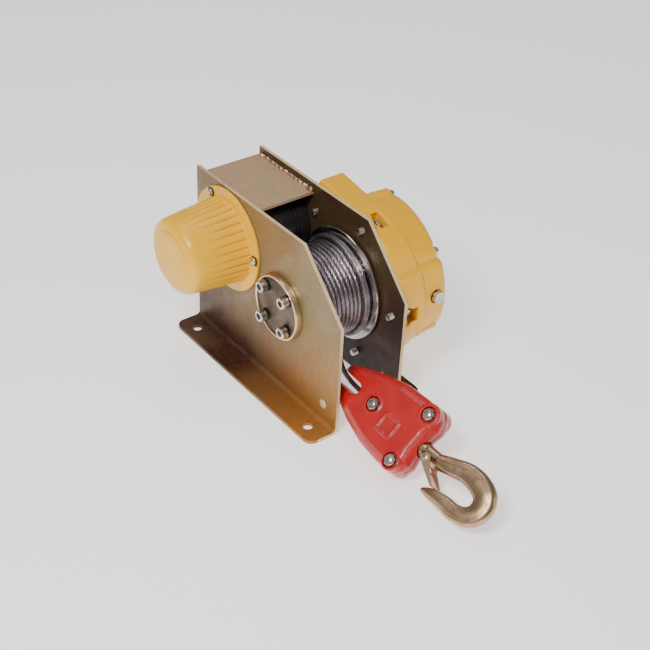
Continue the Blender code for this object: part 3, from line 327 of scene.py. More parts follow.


# The last two colours: painted shade near the ground at the rear, an orange tint near the ground at
# the front.
PLATE = zinc_plate("plate_zinc", (0.30, 0.195, 0.09), (0.24, 0.19, 0.075),
                   (0.17, 0.10, 0.045), 0.3, (0.05, 0.014, 0.011), (0.50, 0.19, 0.025))
# Painted shade: a darker copy of the plate zinc for the far plate, whose face lies in shade; near
# the ground it darkens further.
PLATE_SHADED = zinc_plate("plate_zinc_shaded", (0.10, 0.052, 0.022), (0.09, 0.072, 0.025),
                        (0.04, 0.015, 0.012), 0.35, (0.016, 0.005, 0.005), (0.03, 0.012, 0.01))
# Painted light: a lighter copy of the plate zinc for the top plate, which faces the light from
# above.
PLATE_LIT_TOP = zinc_plate("plate_zinc_lit_top", (0.56, 0.35, 0.21), (0.50, 0.36, 0.20),
                       (0.40, 0.24, 0.15), 0.2)
# Painted highlight: a pale copy of the plate zinc for the plates' upper, front and rear edge faces.
PLATE_EDGE_HIGHLIGHT = zinc_plate("plate_zinc_edge_highlight", (0.85, 0.66, 0.36), (0.80, 0.64, 0.36),
                        (0.62, 0.42, 0.22), 0.2)
YELLOW = painted("yellow_enamel", (0.95, 0.49, 0.0), (0.98, 0.55, 0.0), (0.5, 0.15, 0.0),
                 coat=0.2)
YELLOW_CAST = painted("yellow_casting", (0.93, 0.46, 0.0), (0.97, 0.53, 0.0),
                      (0.34, 0.10, 0.0), 0.0011, 0.2)
# The last colour is a painted highlight on the red's edges.
RED = painted("red_enamel", (0.46, 0.003, 0.004), (0.60, 0.012, 0.012), (0.05, 0.0, 0.0),
              0.0012, 0.5, (0.95, 0.35, 0.30))
BLACK = painted("black_enamel", (0.008, 0.008, 0.009), (0.02, 0.02, 0.02), (0.0, 0.0, 0.0))
RIM_STEEL = turned_steel("turned_rim", (0.80, 0.78, 0.77), (0.45, 0.42, 0.40), 0.16)
# Painted shade: a dark copy of the cover's turned steel for its recessed face, which lies in shade.
COVER_STEEL_SHADED = turned_steel("bearing_cover_steel", (0.20, 0.155, 0.12), (0.08, 0.055, 0.045), 0.42)
# Painted highlight: a bright copy of the cover's turned steel for its rim, which catches the light.
COVER_RIM_LIT = turned_steel("bearing_cover_rim", (0.80, 0.66, 0.45), (0.5, 0.36, 0.22), 0.25)
DARK_STEEL = metal("dark_steel", (0.05, 0.045, 0.045), (0.02, 0.02, 0.02), 0.4, 0.6)
FASTENER = metal("fastener_zinc", (0.80, 0.77, 0.72), (0.40, 0.35, 0.30), 0.18, 0.38)
# Painted shade: near-black for the inside of the screw sockets, deep recesses in shade.
SOCKET_SHADE = metal("socket_shade", (0.006, 0.006, 0.006), (0.002, 0.002, 0.002), 0.5, 0.7,
               metallic=0.0)
ROPE = metal("wire_rope", (0.42, 0.37, 0.39), (0.17, 0.14, 0.15), 0.26, 0.42, 0.0003, 1400.0)
# Painted shadow: near-black for the body under the wound rope, standing for the shaded turns below.
ROPE_SHADOW_FILL = metal("rope_shadow", (0.012, 0.01, 0.01), (0.006, 0.005, 0.005), 0.6, 0.8)
FORGED = metal("forged_hook", (0.56, 0.38, 0.24), (0.27, 0.17, 0.09), 0.24, 0.46, 0.0008, 120.0)
LATCH = metal("latch_sheet", (0.72, 0.48, 0.33), (0.46, 0.29, 0.18), 0.25, 0.42)
COPPER = metal("winding", (0.6, 0.26, 0.12), (0.3, 0.12, 0.05), 0.35, 0.5)
BRONZE = metal("bronze", (0.55, 0.38, 0.16), (0.35, 0.22, 0.1), 0.3, 0.5)
GEAR_STEEL = metal("gear_steel", (0.5, 0.49, 0.48), (0.25, 0.24, 0.23), 0.25, 0.45)
WELD = metal("weld_metal", (0.80, 0.60, 0.38), (0.42, 0.27, 0.15), 0.25, 0.5, 0.0008, 300.0)


# ---- mesh building

def make_object(name, mesh, materials, smooth=35.0):
    """Links a mesh; edges sharper than the smooth angle stay sharp, and 0 leaves it faceted."""
    for material in materials:
        mesh.materials.append(material)
    made = bpy.data.objects.new(name, mesh)
    bpy.context.scene.collection.objects.link(made)
    if smooth:
        mesh.shade_smooth()
        mesh.set_sharp_from_angle(angle=math.radians(smooth))
    return made


def from_bmesh(name, shape, materials, smooth=35.0):
    bmesh.ops.recalc_face_normals(shape, faces=shape.faces)
    mesh = bpy.data.meshes.new(name)
    shape.to_mesh(mesh)
    shape.free()
    return make_object(name, mesh, materials, smooth)


def lathe(name, profile, place, materials, steps=96, closed=False, radius=None, smooth=35.0):
    """Revolves (radius, height) points about local Z; radius(r, h, angle) may change them."""
    shape = bmesh.new()
    rows = []
    for r, h in profile:
        if r == 0.0:
            rows.append([shape.verts.new(place @ Vector((0, 0, h)))])
            continue
        row = []
        for i in range(steps):
            angle = 2 * math.pi * i / steps
            reach = r if radius is None else radius(r, h, angle)
            row.append(shape.verts.new(
                place @ Vector((reach * math.cos(angle), reach * math.sin(angle), h))))
        rows.append(row)
    pairs = list(zip(rows, rows[1:]))
    if closed:
        pairs.append((rows[-1], rows[0]))
    for low, high in pairs:
        for i in range(steps):
            j = (i + 1) % steps
            if len(low) == len(high) == 1:
                continue
            if len(low) == 1:
                shape.faces.new((low[0], high[i], high[j]))
            elif len(high) == 1:
                shape.faces.new((low[i], low[j], high[0]))
            else:
                shape.faces.new((low[i], low[j], high[j], high[i]))
    return from_bmesh(name, shape, materials, smooth)


def skin(name, rings, materials, smooth=35.0, closed=False):
    """A closed surface through rings of world points, capped unless it closes on itself."""
    shape = bmesh.new()
    rows = [[shape.verts.new(point) for point in points] for points in rings]
    pairs = list(zip(rows, rows[1:]))
    if closed:
        pairs.append((rows[-1], rows[0]))
    for low, high in pairs:
        for i, vertex in enumerate(low):
            j = (i + 1) % len(low)
            shape.faces.new((vertex, low[j], high[j], high[i]))
    if not closed:
        shape.faces.new(tuple(reversed(rows[0])))
        shape.faces.new(tuple(rows[-1]))
    return from_bmesh(name, shape, materials, smooth)


def extrude(name, outline, low, high, place, materials=(), smooth=35.0):
    rings = [[place @ Vector((x, y, height)) for x, y in outline] for height in (low, high)]
    return skin(name, rings, materials, smooth)


def arc(centre, radius, start, end, steps):
    """Points on a circle between two angles in degrees, both ends included."""
    x, y = centre
    points = []
    for i in range(steps + 1):
        angle = math.radians(start + (end - start) * i / steps)
        points.append((x + radius * math.cos(angle), y + radius * math.sin(angle)))
    return points


def round_square(centre, half, radius, steps=6):
    x, y = centre
    reach = half - radius
    corners = ((reach, reach, 0), (-reach, reach, 90), (-reach, -reach, 180), (reach, -reach, 270))
    points = []
    for dx, dy, start in corners:
        points += arc((x + dx, y + dy), radius, start, start + 90, steps)
    return points


def in_mm(*points):
    return [tuple(value * MM for value in point) for point in points]


def drop(thing):
    bpy.data.objects.remove(thing, do_unlink=True)


def bake(thing):
    """Applies the modifiers of an object to its mesh."""
    bpy.context.view_layer.update()
    graph = bpy.context.evaluated_depsgraph_get()
    mesh = bpy.data.meshes.new_from_object(thing.evaluated_get(graph))
    thing.modifiers.clear()
    thing.data = mesh
    return thing


def carve(target, cutter):
    """Takes the cutter out of the target."""
    step = target.modifiers.new("carve", "BOOLEAN")
    step.operation = "DIFFERENCE"
    step.solver = "MANIFOLD"
    step.object = cutter
    bake(target)
    drop(cutter)
    return target


def voxel_surface(thing, voxel):
    """One closed even surface around everything in the object."""
    shape = bmesh.new()
    shape.from_mesh(thing.data)
    bmesh.ops.remove_doubles(shape, verts=shape.verts, dist=0.01 * MM)
    bmesh.ops.recalc_face_normals(shape, faces=shape.faces)
    shape.to_mesh(thing.data)
    shape.free()
    remesh = thing.modifiers.new("voxel", "REMESH")
    remesh.mode = "VOXEL"
    remesh.voxel_size = voxel
    remesh.adaptivity = 0.0
    return bake(thing)


def merged(name, things, voxel):
    """Several overlapping closed surfaces as one."""
    shape = bmesh.new()
    for thing in things:
        shape.from_mesh(thing.data)
        drop(thing)
    return voxel_surface(from_bmesh(name, shape, ()), voxel)


def finish_as(mesh, *materials):
    mesh.materials.clear()
    for material in materials:
        mesh.materials.append(material)


def cast_surface(thing, voxel, rounds, materials):
    """The soft edges of a casting: a fine voxel surface, smoothed."""
    voxel_surface(thing, voxel)
    smooth = thing.modifiers.new("soften", "SMOOTH")
    smooth.factor = 0.5
    smooth.iterations = rounds
    bake(thing)
    finish_as(thing.data, *materials)
    thing.data.shade_smooth()
    return thing


def refined(node, materials, bevel):
    """A copy of a CAD node with its flat faces joined again and its edges rounded."""
    shape = bmesh.new()
    shape.from_mesh(NODES[node].data)
    bmesh.ops.remove_doubles(shape, verts=shape.verts, dist=0.002 * MM)
    bmesh.ops.dissolve_limit(shape, angle_limit=math.radians(0.6), verts=shape.verts,
                             edges=shape.edges)
    made = from_bmesh(node + "_fine", shape, materials, 0)
    step = made.modifiers.new("edges", "BEVEL")
    step.width = bevel
    step.segments = 2
    step.limit_method = "ANGLE"
    step.angle_limit = math.radians(32.0)
    step.use_clamp_overlap = True
    made.modifiers.new("flat faces stay flat", "WEIGHTED_NORMAL").weight = 80
    made.data.shade_smooth()
    bake(made)
    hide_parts(node)
    return made


def settle(thing, body, slot, *replaced):
    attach(thing, body)
    if replaced:
        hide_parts(*replaced)
    return thing


def toward(point, direction):
    """Frame at a point with local Z along a direction."""
    turn = Vector(direction).to_track_quat("Z", "Y").to_matrix().to_4x4()
    return Matrix.Translation(Vector(point)) @ turn


def middle_of(node):
    low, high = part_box(node)
    return (low + high) / 2


# ---- rope

def smooth_route(points, steps):
    """A Catmull-Rom curve through the points."""
    padded = [points[0] * 2 - points[1], *points, points[-1] * 2 - points[-2]]
    route = []
    for a, b, c, d in zip(padded, padded[1:], padded[2:], padded[3:]):
        for i in range(steps):
            t = i / steps
            route.append(0.5 * (2 * b + (c - a) * t + (2 * a - 5 * b + 4 * c - d) * t ** 2
                                + (3 * b - a - 3 * c + d) * t ** 3))
    return route + [points[-1]]


def strand_radius(angle):
    """Outline of six round strands laid about a middle one, as a share of the rope's radius."""
    lobe = 2 * math.pi / STRANDS
    offset = (angle + lobe / 2) % lobe - lobe / 2
    round_strand = 2 * math.cos(offset) + math.sqrt(max(0.0, 1 - 4 * math.sin(offset) ** 2))
    return 0.68 + 0.32 * round_strand / 3


def along_path(path):
    """Each point of a path with two directions across it that don't twist."""
    side = (path[1] - path[0]).orthogonal().normalized()
    for i, point in enumerate(path):
        ahead = (path[min(i + 1, len(path) - 1)] - path[max(i - 1, 0)]).normalized()
        side = (side - ahead * side.dot(ahead)).normalized()
        yield point, side, ahead.cross(side)


def wire_rope(name, path, around=30):
    """A rope of twisted strands along a path of world points."""
    rings = []
    travelled = 0.0
    for i, (point, side, up) in enumerate(along_path(path)):
        if i:
            travelled += (point - path[i - 1]).length
        twist = 2 * math.pi * travelled / ROPE_LAY
        ring = []
        for k in range(around):
            angle = 2 * math.pi * k / around
            reach = ROPE_D / 2 * strand_radius(angle - twist)
            ring.append(point + side * (reach * math.cos(angle)) + up * (reach * math.sin(angle)))
        rings.append(ring)
    return skin(name, rings, [ROPE], 0)


def helix(radius, start_x, end_x, start_angle, turns, step=1.7 * MM):
    """World points of rope wound about the drum axis."""
    count = int(2 * math.pi * radius * turns / step)
    points = []
    for i in range(count + 1):
        share = i / count
        angle = math.radians(start_angle) + 2 * math.pi * turns * share
        points.append(DRUM + Vector((start_x + (end_x - start_x) * share,
                                     -radius * math.cos(angle), radius * math.sin(angle))))
    return points


def make_wound_rope():
    low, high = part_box("rope_layers")
    layer_r = (high.z - low.z) / 2 - ROPE_D / 2
    first = low.x - MID_X + ROPE_D / 2
    last = high.x - MID_X - ROPE_D / 2
    pitch = ROPE_D * 1.01
    layer = wire_rope("rope_layer", helix(layer_r, first, last, 200, (last - first) / pitch))
    settle(layer, "drum", "wire_rope", "rope_layers")
    # Painted shadow: a near-black body under the rope layer stands for the shaded turns below it.
    core = lathe("rope_under_layers", [
        (layer_r - 1.2 * MM, first), (layer_r - 1.2 * MM, last),
        (layer_r - 11 * MM, last), (layer_r - 11 * MM, first)], AT_DRUM, [ROPE_SHADOW_FILL], closed=True)
    settle(core, "drum", "wire_rope")
    low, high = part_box("rope_top_layer")
    top_r = (high.z - low.z) / 2 - ROPE_D / 2
    top = wire_rope("rope_upper_turns", helix(top_r, last - 1.0 * pitch, last, 291, 2.0))
    settle(top, "drum", "wire_rope", "rope_top_layer")


ROPE_ROUTE = (                       # drum to hook block: x, distance from the rear edge, height
    (0.0175, 0.2035, 0.0560),
    (0.0105, 0.2180, 0.0532),
    (0.0015, 0.2340, 0.0510),
    (-0.0065, 0.2510, 0.0500),
    (-0.0116, 0.2700, 0.0503),
    (-0.0136, 0.2900, 0.0500),
    (-0.0140, 0.3040, 0.0493),
    (-0.0140, 0.3150, 0.0486),
)


def make_free_rope():
    knots = [Vector((MID_X + x, BACK_Y - distance, z)) for x, distance, z in ROPE_ROUTE]
    path = smooth_route(knots, 12)
    rope = wire_rope("free_rope_strands", path)
    settle(rope, "frame", "wire_rope", "free_rope")
    length = sum((b - a).length for a, b in zip(path, path[1:]))
    tuple(path[0])
    [tuple(p) for p in path]


# ---- fasteners

def hexagon(flats, turn=0.0):
    return arc((0.0, 0.0), flats / math.sqrt(3), turn, turn + 300, 5)


def hex_shape(name, flats, height, place, material, turn=0.0):
    """A hexagon with the chamfered, slightly domed top of a bolt head or nut."""
    outline = hexagon(flats, turn)
    fine = []
    for a, b in zip(outline, outline[1:] + outline[:1]):
        for i in range(6):
            t = i / 6
            fine.append((a[0] + (b[0] - a[0]) * t, a[1] + (b[1] - a[1]) * t))
    rings = []
    for level, limit in ((0.0, 0.52), (0.06, 0.56), (0.72, 0.56), (0.88, 0.525), (1.0, 0.47)):
        ring = []
        for x, y in fine:
            shrink = min(1.0, limit * flats / math.hypot(x, y))
            ring.append(place @ Vector((x * shrink, y * shrink, level * height)))
        rings.append(ring)
    return skin(name, rings, [material], 25.0)


def washer(name, outer, inner, thickness, place, material=FASTENER):
    edge = thickness * 0.25
    profile = [(outer - edge, 0.0), (outer, edge), (outer, thickness - edge),
               (outer - edge, thickness), (inner, thickness), (inner, 0.0)]
    return lathe(name, profile, place, [material], 40, closed=True)


def thread(name, radius, low, high, place, material=FASTENER):
    """A threaded end with a chamfered tip."""
    profile = [(0.0, high), (radius * 0.55, high), (radius * 0.8, high - 0.5 * MM)]
    pitch = 0.9 * MM
    height = high - 0.7 * MM
    while height > low + pitch:
        profile += [(radius, height), (radius * 0.86, height - pitch / 2)]
        height -= pitch
    profile += [(radius, low), (0.0, low)]
    return lathe(name, profile, place, [material], 24, smooth=50.0)


def joined(name, things, body, slot, *replaced):
    """Pieces of one fastener as one object that keeps each part's material."""
    finishes = []
    shape = bmesh.new()
    for thing in things:
        material = thing.data.materials[0]
        if material not in finishes:
            finishes.append(material)
        start = len(shape.faces)
        shape.from_mesh(thing.data)
        shape.faces.ensure_lookup_table()
        for face in shape.faces[start:]:
            face.material_index = finishes.index(material)
        drop(thing)
    mesh = bpy.data.meshes.new(name)
    shape.to_mesh(mesh)
    shape.free()
    made = make_object(name, mesh, finishes, 0)
    return settle(made, body, slot, *replaced)


def make_bearing_screws(face_x):
    """Socket head screws on split spring washers."""
    for number in range(1, 5):
        node = "bearing_screw_%d" % number
        centre = middle_of(node)
        centre.x = MID_X + face_x
        place = toward(centre, (-1, 0, 0))
        head, radius = 11.0 * MM, 7.5 * MM
        bottom, top = 2.6 * MM, 2.6 * MM + head - 3.0 * MM
        profile = [(0.0, top - 5 * MM), (4.1 * MM, top - 5 * MM), (4.1 * MM, top),
                   (radius - 1.0 * MM, top), (radius, top - 1.0 * MM), (radius, bottom),
                   (0.0, bottom)]
        body = lathe("head", profile, place, [FASTENER], 48,
                     radius=lambda r, h, a: r if r < 7.4 * MM else r - 0.12 * MM * (
                         0.5 + 0.5 * math.cos(40 * a)))
        # The dark hex in each socket is painted shade.
        inside = extrude("socket", hexagon(8.0 * MM, 15.0 * number), top - 4.9 * MM,
                         top - 0.9 * MM, place, [SOCKET_SHADE])
        ring = washer("washer", 7.7 * MM, 4.4 * MM, 2.2 * MM, place, DARK_STEEL)
        joined(node + "_fine", [body, inside, ring], "frame", "bright_zinc", node)


def make_hex_bolts():
    """Gearbox bolts, sizes in mm: the head and washer are at the node's +X end."""
    head = 6.0
    for prefix, count, flats, shank in (("cover_bolt", 6, 10.0, 3.0), ("case_bolt", 4, 13.0, 4.0)):
        for number in range(1, count + 1):
            node = "%s_%d" % (prefix, number)
            low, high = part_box(node)
            seat = Vector((high.x - head * MM, (low.y + high.y) / 2, (low.z + high.z) / 2))
            place = toward(seat, (1, 0, 0))
            body = hex_shape("head", flats * MM, head * MM, place, FASTENER, 20.0 * number)
            ring = washer("washer", flats * 0.62 * MM, flats * 0.3 * MM, 1.0 * MM, place)
            end = thread("shank", shank * MM, 0.0, high.x - head * MM - low.x,
                         toward(seat, (-1, 0, 0)))
            joined(node + "_fine", [body, ring, end], "frame", "bright_zinc", node)


def make_cover_screws():
    for number in range(1, 4):
        node = "cover_screw_%d" % number
        low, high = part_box(node)
        place = toward(((low.x + 4 * MM), (low.y + high.y) / 2, (low.z + high.z) / 2), (-1, 0, 0))
        profile = in_mm((0.0, 2.6), (0.7, 2.6), (1.4, 3.9), (3.0, 3.6), (4.3, 2.6), (4.9, 1.0),
                        (4.9, 0.0), (0.0, 0.0))
        head = lathe("head", profile, place, [FASTENER], 32)
        ring = washer("washer", 5.9 * MM, 3.2 * MM, 0.9 * MM, place, DARK_STEEL)
        joined(node + "_fine", [head, ring], "frame", "bright_zinc", node)


# ---- plates and welds

def edge_highlight_faces(thing, index):
    """Gives the thin faces round a plate, whose normals lie across X, another finish: the pale zinc
    of a painted highlight.
    """
    for face in thing.data.polygons:
        normal = face.normal
        if abs(normal.x) < 0.2 and (normal.z > 0.3 or abs(normal.y) > 0.5) and (
                face.center.z > 12 * MM):
            face.material_index = index


def make_plates():
    near = refined("side_plate_near", [PLATE, PLATE_EDGE_HIGHLIGHT], 0.7 * MM)
    # The edge faces take the pale zinc: painted highlight.
    edge_highlight_faces(near, 1)
    settle(near, "frame", "zinc_plate")
    # Painted shade: the far plate takes the darker copy of the zinc.
    far = refined("side_plate_far", [PLATE_SHADED, PLATE_EDGE_HIGHLIGHT], 0.7 * MM)
    edge_highlight_faces(far, 1)
    settle(far, "frame", "zinc_plate")
    # Painted light: the top plate takes the lighter copy of the zinc.
    top = refined("top_plate", [PLATE_LIT_TOP], 0.6 * MM)
    settle(top, "frame", "zinc_plate")


def weld_bead(name, start, end, radius, ripple):
    """A run of overlapping scallops between two points."""
    path = end - start
    count = int(path.length / ripple)
    shape = bmesh.new()
    for i in range(count + 1):
        spot = start + path * (i / count)
        wobble = Vector((math.sin(i * 2.1), 0.0, math.cos(i * 1.3))) * radius * 0.16
        size = radius * (1.0 + 0.14 * math.sin(i * 1.7))
        place = Matrix.Translation(spot + wobble) @ Matrix.Diagonal((size, size * 0.8, size, 1.0))
        bmesh.ops.create_icosphere(shape, subdivisions=3, radius=1.0, matrix=place)
    bead = from_bmesh(name, shape, (), 0)
    cast_surface(bead, radius * 0.16, 2, [WELD])
    return settle(bead, "frame", "zinc_plate")


def make_welds():
    low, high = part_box("top_plate")
    far = MID_X + FAR_IN - 1.4 * MM
    near = MID_X + NEAR_IN + 1.4 * MM
    level = high.z + 0.4 * MM
    weld_bead("weld_far", Vector((far, low.y + 4 * MM, level)),
              Vector((far, high.y - 3 * MM, level)), 2.7 * MM, 2.6 * MM)
    weld_bead("weld_near", Vector((near, low.y + 3 * MM, level - 0.8 * MM)),
              Vector((near, high.y - 3 * MM, level - 0.8 * MM)), 1.7 * MM, 2.2 * MM)
    weld_bead("weld_corner", Vector((far - 1 * MM, low.y + 2.5 * MM, level)),
              Vector((far - 1 * MM, low.y + 7 * MM, level)), 4.0 * MM, 2.2 * MM)


# ---- near bearing cover

def make_bearing_cover():
    low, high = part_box("bearing_cover")
    radius = (high.z - low.z) / 2
    seat, face = high.x - MID_X, low.x - MID_X
    recess = 1.5 * MM
    rim = radius - 3.2 * MM
    # The rim takes the bright copy of the steel: painted highlight.
    outer = lathe("bearing_cover_rim", [
        (radius - 0.4 * MM, seat), (radius, seat - 0.5 * MM), (radius, face + 1.2 * MM),
        (radius - 0.5 * MM, face + 0.3 * MM), (radius - 1.2 * MM, face), (rim + 0.4 * MM, face),
        (rim, face + 0.4 * MM), (rim, seat)], AT_DRUM, [COVER_RIM_LIT], 128, closed=True)
    settle(outer, "frame", "machined_steel", "bearing_cover")
    floor = face + recess
    # The recessed face takes the dark copy of the steel: painted shade.
    disc = lathe("bearing_cover_face", [
        (0.0, floor + 0.5 * MM), (3.0 * MM, floor + 0.5 * MM), (3.4 * MM, floor),
        (rim - 1.2 * MM, floor), (rim - 0.1 * MM, floor + 0.7 * MM), (rim - 0.1 * MM, seat),
        (0.0, seat)], AT_DRUM, [COVER_STEEL_SHADED], 128)
    settle(disc, "frame", "machined_steel")
    make_bearing_screws(floor)


# ---- drum

def make_drum():
    low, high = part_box("rope_drum")
    radius = (high.z - low.z) / 2
    near, far = low.x - MID_X, high.x - MID_X
    barrel, bore, flange = 41.0 * MM, 15.3 * MM, 4.0 * MM

    def rim(inner, outer, sign):
        return [(radius - 1.0 * MM, outer), (radius - 0.35 * MM, outer + sign * 0.25 * MM),
                (radius, outer + sign * 0.9 * MM), (radius, inner - sign * 0.9 * MM),
                (radius - 0.35 * MM, inner - sign * 0.25 * MM), (radius - 1.0 * MM, inner)]

    profile = ([(bore, near)] + rim(near + flange, near, 1)
               + [(barrel + 1.5 * MM, near + flange), (barrel, near + flange + 1.5 * MM),
                  (barrel, far - flange - 1.5 * MM), (barrel + 1.5 * MM, far - flange)]
               + list(reversed(rim(far - flange, far, -1)))
               + [(bore, far), (bore, far - 8 * MM), (36 * MM, far - 8 * MM),
                  (36 * MM, near + 8 * MM), (bore, near + 8 * MM)])
    drum = lathe("rope_drum_fine", profile, AT_DRUM, [RIM_STEEL], 160, closed=True)
    settle(drum, "drum", "machined_steel", "rope_drum")
    make_wound_rope()


# ---- motor and its cover

FLUTES = 32


def make_motor_cover():
    low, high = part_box("motor_cover")
    seat, end = high.x - MID_X, low.x - MID_X + INSIDE
    flange_r = (high.z - low.z) / 2
    flange = seat - 4.0 * MM
    shoulder = end + 17 * MM
    outside = [(54.6 * MM, flange + 0.5 * MM), (53.9 * MM, flange - 1.0 * MM)]     # radius, height
    for i in range(11):
        share = i / 10
        outside.append(((53.6 - 5.2 * share) * MM,
                        flange - 2.0 * MM + (shoulder - flange + 2.0 * MM) * share))
    crown = ((47.9, 12), (46.9, 8.5), (45.0, 5.6), (42.4, 3.6), (39.0, 2.4), (35.8, 1.9),
             (34.9, 1.4), (34.2, 0.5), (33.2, 0.0), (20.0, 0.0), (0.0, 0.0))
    outside += [(r * MM, end + height * MM) for r, height in crown]
    inside = [(0.0, end + 3 * MM), (37 * MM, end + 5 * MM), (44 * MM, end + 14 * MM),
              (47.5 * MM, flange), (47.5 * MM, flange + 0.5 * MM)]
    length = flange - shoulder

    def fluted(r, h, angle):
        share = (h - shoulder) / length
        if share <= 0.0 or r < 48 * MM:
            return r
        fade = min(1.0, (flange + 1 * MM - h) / (2.2 * MM) + 0.4)
        depth = 2.0 * MM * min(1.0, share * 1.6) * fade
        wave = (angle * FLUTES / (2 * math.pi)) % 1.0
        valley = max(0.0, 1 - abs(wave - 0.5) / 0.24)
        return r - depth * valley * valley * (3 - 2 * valley)

    cover = lathe("motor_cover_bell", outside + inside, AT_MOTOR, [YELLOW], FLUTES * 12,
                  radius=fluted, closed=True, smooth=40.0)
    settle(cover, "frame", "yellow_paint", "motor_cover")
    rim = lathe("flange", [
        (50.2 * MM, seat), (flange_r - 0.6 * MM, seat), (flange_r, seat - 0.6 * MM),
        (flange_r, flange + 1.2 * MM), (flange_r - 0.4 * MM, flange + 0.4 * MM),
        (flange_r - 1.3 * MM, flange), (50.2 * MM, flange)], AT_MOTOR, [YELLOW], 160, closed=True)
    for number in range(1, 4):
        spot = middle_of("cover_screw_%d" % number)
        notch = Vector((MID_X + flange, spot.y, spot.z))
        outward = notch - MOTOR
        outward.x = 0.0
        outward.normalize()
        for shift in (0.0, 4 * MM):
            place = toward(notch + outward * shift, (-1, 0, 0))
            notch_profile = in_mm((0.0, 4), (6.2, 4), (6.2, -1.6), (0.0, -1.6))
            carve(rim, lathe("notch", notch_profile, place, (), 32))
    rim.name = "motor_cover_flange"
    finish_as(rim.data, YELLOW)
    rim.data.shade_smooth()
    rim.data.set_sharp_from_angle(angle=math.radians(35))
    settle(rim, "frame", "yellow_paint")
    make_cover_screws()


def make_motor():
    low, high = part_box("motor_frame")
    radius = (high.z - low.z) / 2
    start, end = low.x - MID_X, high.x - MID_X
    profile = [(8.0 * MM, start), (radius - 1 * MM, start), (radius, start + 1 * MM)]
    for share in (0.42, 0.47, 0.80, 0.85):
        spot = start + (end - start) * share
        profile += [(radius, spot - 1.4 * MM), (radius - 1.5 * MM, spot - 0.8 * MM),
                    (radius - 1.5 * MM, spot + 0.8 * MM), (radius, spot + 1.4 * MM)]
    profile += [(radius, end - 1 * MM), (radius - 1 * MM, end), (8.0 * MM, end)]
    motor = lathe("motor_frame_fine", profile, AT_MOTOR, [BLACK], 112, closed=True)
    settle(motor, "frame", "black_paint", "motor_frame")


# ---- gearbox castings

CASE_R, CASE_MOTOR_R = 101.0 * MM, 28.0 * MM
COVER_R, COVER_REAR_R = 98.0 * MM, 84.0 * MM
COVER_FRONT = (-93.0, 107.0)        # degrees about the drum axis
DECK_R, DECK_MOTOR_R = 90.0 * MM, 18.0 * MM
DECK_DEPTH = 57.0 * MM              # from the far plate
BOLT_HEAD = 6.3 * MM                # from a cover bolt's end to its seat
CASTING_VOXEL = 1.0 * MM
BULGE = 4.5 * MM                    # height of the raised band at the front
BULGE_FROM, BULGE_TO = -18.0, 30.0  # degrees up from straight forward


def pear(drum_r, motor_r, inset=0.0, steps=150):
    """Outline round the drum and motor axes in world Y and Z, with the raised front band."""
    to_motor = Vector((MOTOR.y - DRUM.y, MOTOR.z - DRUM.z))
    heading = math.degrees(math.atan2(to_motor.y, to_motor.x))
    spread = math.degrees(math.acos((drum_r - motor_r) / to_motor.length))
    start, end = heading + spread, heading + 360.0 - spread
    points = []
    for i in range(steps + 1):
        world = start + (end - start) * i / steps
        front = 180.0 - world
        radius = drum_r + BULGE * ramp(front, BULGE_FROM, BULGE_TO) - inset
        points.append((DRUM.y + radius * math.cos(math.radians(world)),
                       DRUM.z + radius * math.sin(math.radians(world))))
    return points + arc((MOTOR.y, MOTOR.z), motor_r - inset, heading - spread, heading + spread, 50)


def bolt_points(prefix, count):
    return [middle_of("%s_%d" % (prefix, number)) for number in range(1, count + 1)]


def solid_along_x(name, outlines):
    """Closed surface through (height, outline) pairs; outlines are in world Y and Z."""
    rings = [[Vector((MID_X + height, y, z)) for y, z in outline] for height, outline in outlines]
    return skin(name, rings, ())


def cylinder_x(name, point, radius, low, high, steps=40):
    place = Matrix.Translation(Vector((MID_X, point.y, point.z))) @ FACE_X
    return lathe(name, [(0.0, low), (radius, low), (radius, high), (0.0, high)], place, (), steps)


def ramp(value, low, high, width=2.5):
    """One between two limits, falling to zero outside them."""
    return max(0.0, min(1.0, (value - low) / width + 0.5, (high - value) / width + 0.5))


def cover_outline(inset, steps=320):
    points = []
    for i in range(steps):
        front = 180.0 - 360.0 * i / steps
        radius = COVER_REAR_R + (COVER_R - COVER_REAR_R) * ramp(front, *COVER_FRONT)
        radius += BULGE * ramp(front, BULGE_FROM, BULGE_TO) - inset
        world = math.radians(180.0 - front)
        points.append((DRUM.y + radius * math.cos(world), DRUM.z + radius * math.sin(world)))
    return points


def bolt_seats():
    """Each cover bolt's middle, and the height of its seat."""
    seats = []
    for number in range(1, 7):
        node = "cover_bolt_%d" % number
        seats.append((middle_of(node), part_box(node)[1].x - MID_X - BOLT_HEAD))
    return seats


def make_gear_case():
    low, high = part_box("gear_case")
    back, front = low.x - MID_X, high.x - MID_X
    body = solid_along_x("body", [(back, pear(CASE_R, CASE_MOTOR_R)),
                                  (front - 1.0 * MM, pear(CASE_R, CASE_MOTOR_R)),
                                  (front, pear(CASE_R, CASE_MOTOR_R, 1.0 * MM))])
    top = DRUM.z + CASE_R - 0.4 * MM
    ear = [(BACK_Y - 0.205, 0.205), (BACK_Y - 0.18, top), (BACK_Y - 0.1215, 0.2294),
           (BACK_Y - 0.1195, 0.2300), (BACK_Y - 0.1185, 0.2285), (BACK_Y - 0.111, 0.214),
           (BACK_Y - 0.09, 0.19)]
    parts = [body, solid_along_x("ear", [(back, ear), (front - 0.4 * MM, ear)])]
    for point, _ in bolt_seats():
        parts.append(cylinder_x("lug", point, 9.0 * MM, front - 22 * MM, front - 0.3 * MM))
    case = merged("gear_case_casting", parts, CASTING_VOXEL)
    for point in bolt_points("case_bolt", 4):
        outward = Vector((0, point.y - DRUM.y, point.z - DRUM.z)).normalized()
        carve(case, cylinder_x("pocket", point + outward * 4 * MM, 12.8 * MM, back + 12 * MM,
                               back + 23 * MM))
        carve(case, cylinder_x("lip", point + outward * 19.5 * MM, 14.0 * MM, back - 5 * MM,
                               back + 12.3 * MM))
    cast_surface(case, CASTING_VOXEL, 3, [YELLOW_CAST])
    settle(case, "frame", "yellow_paint", "gear_case")


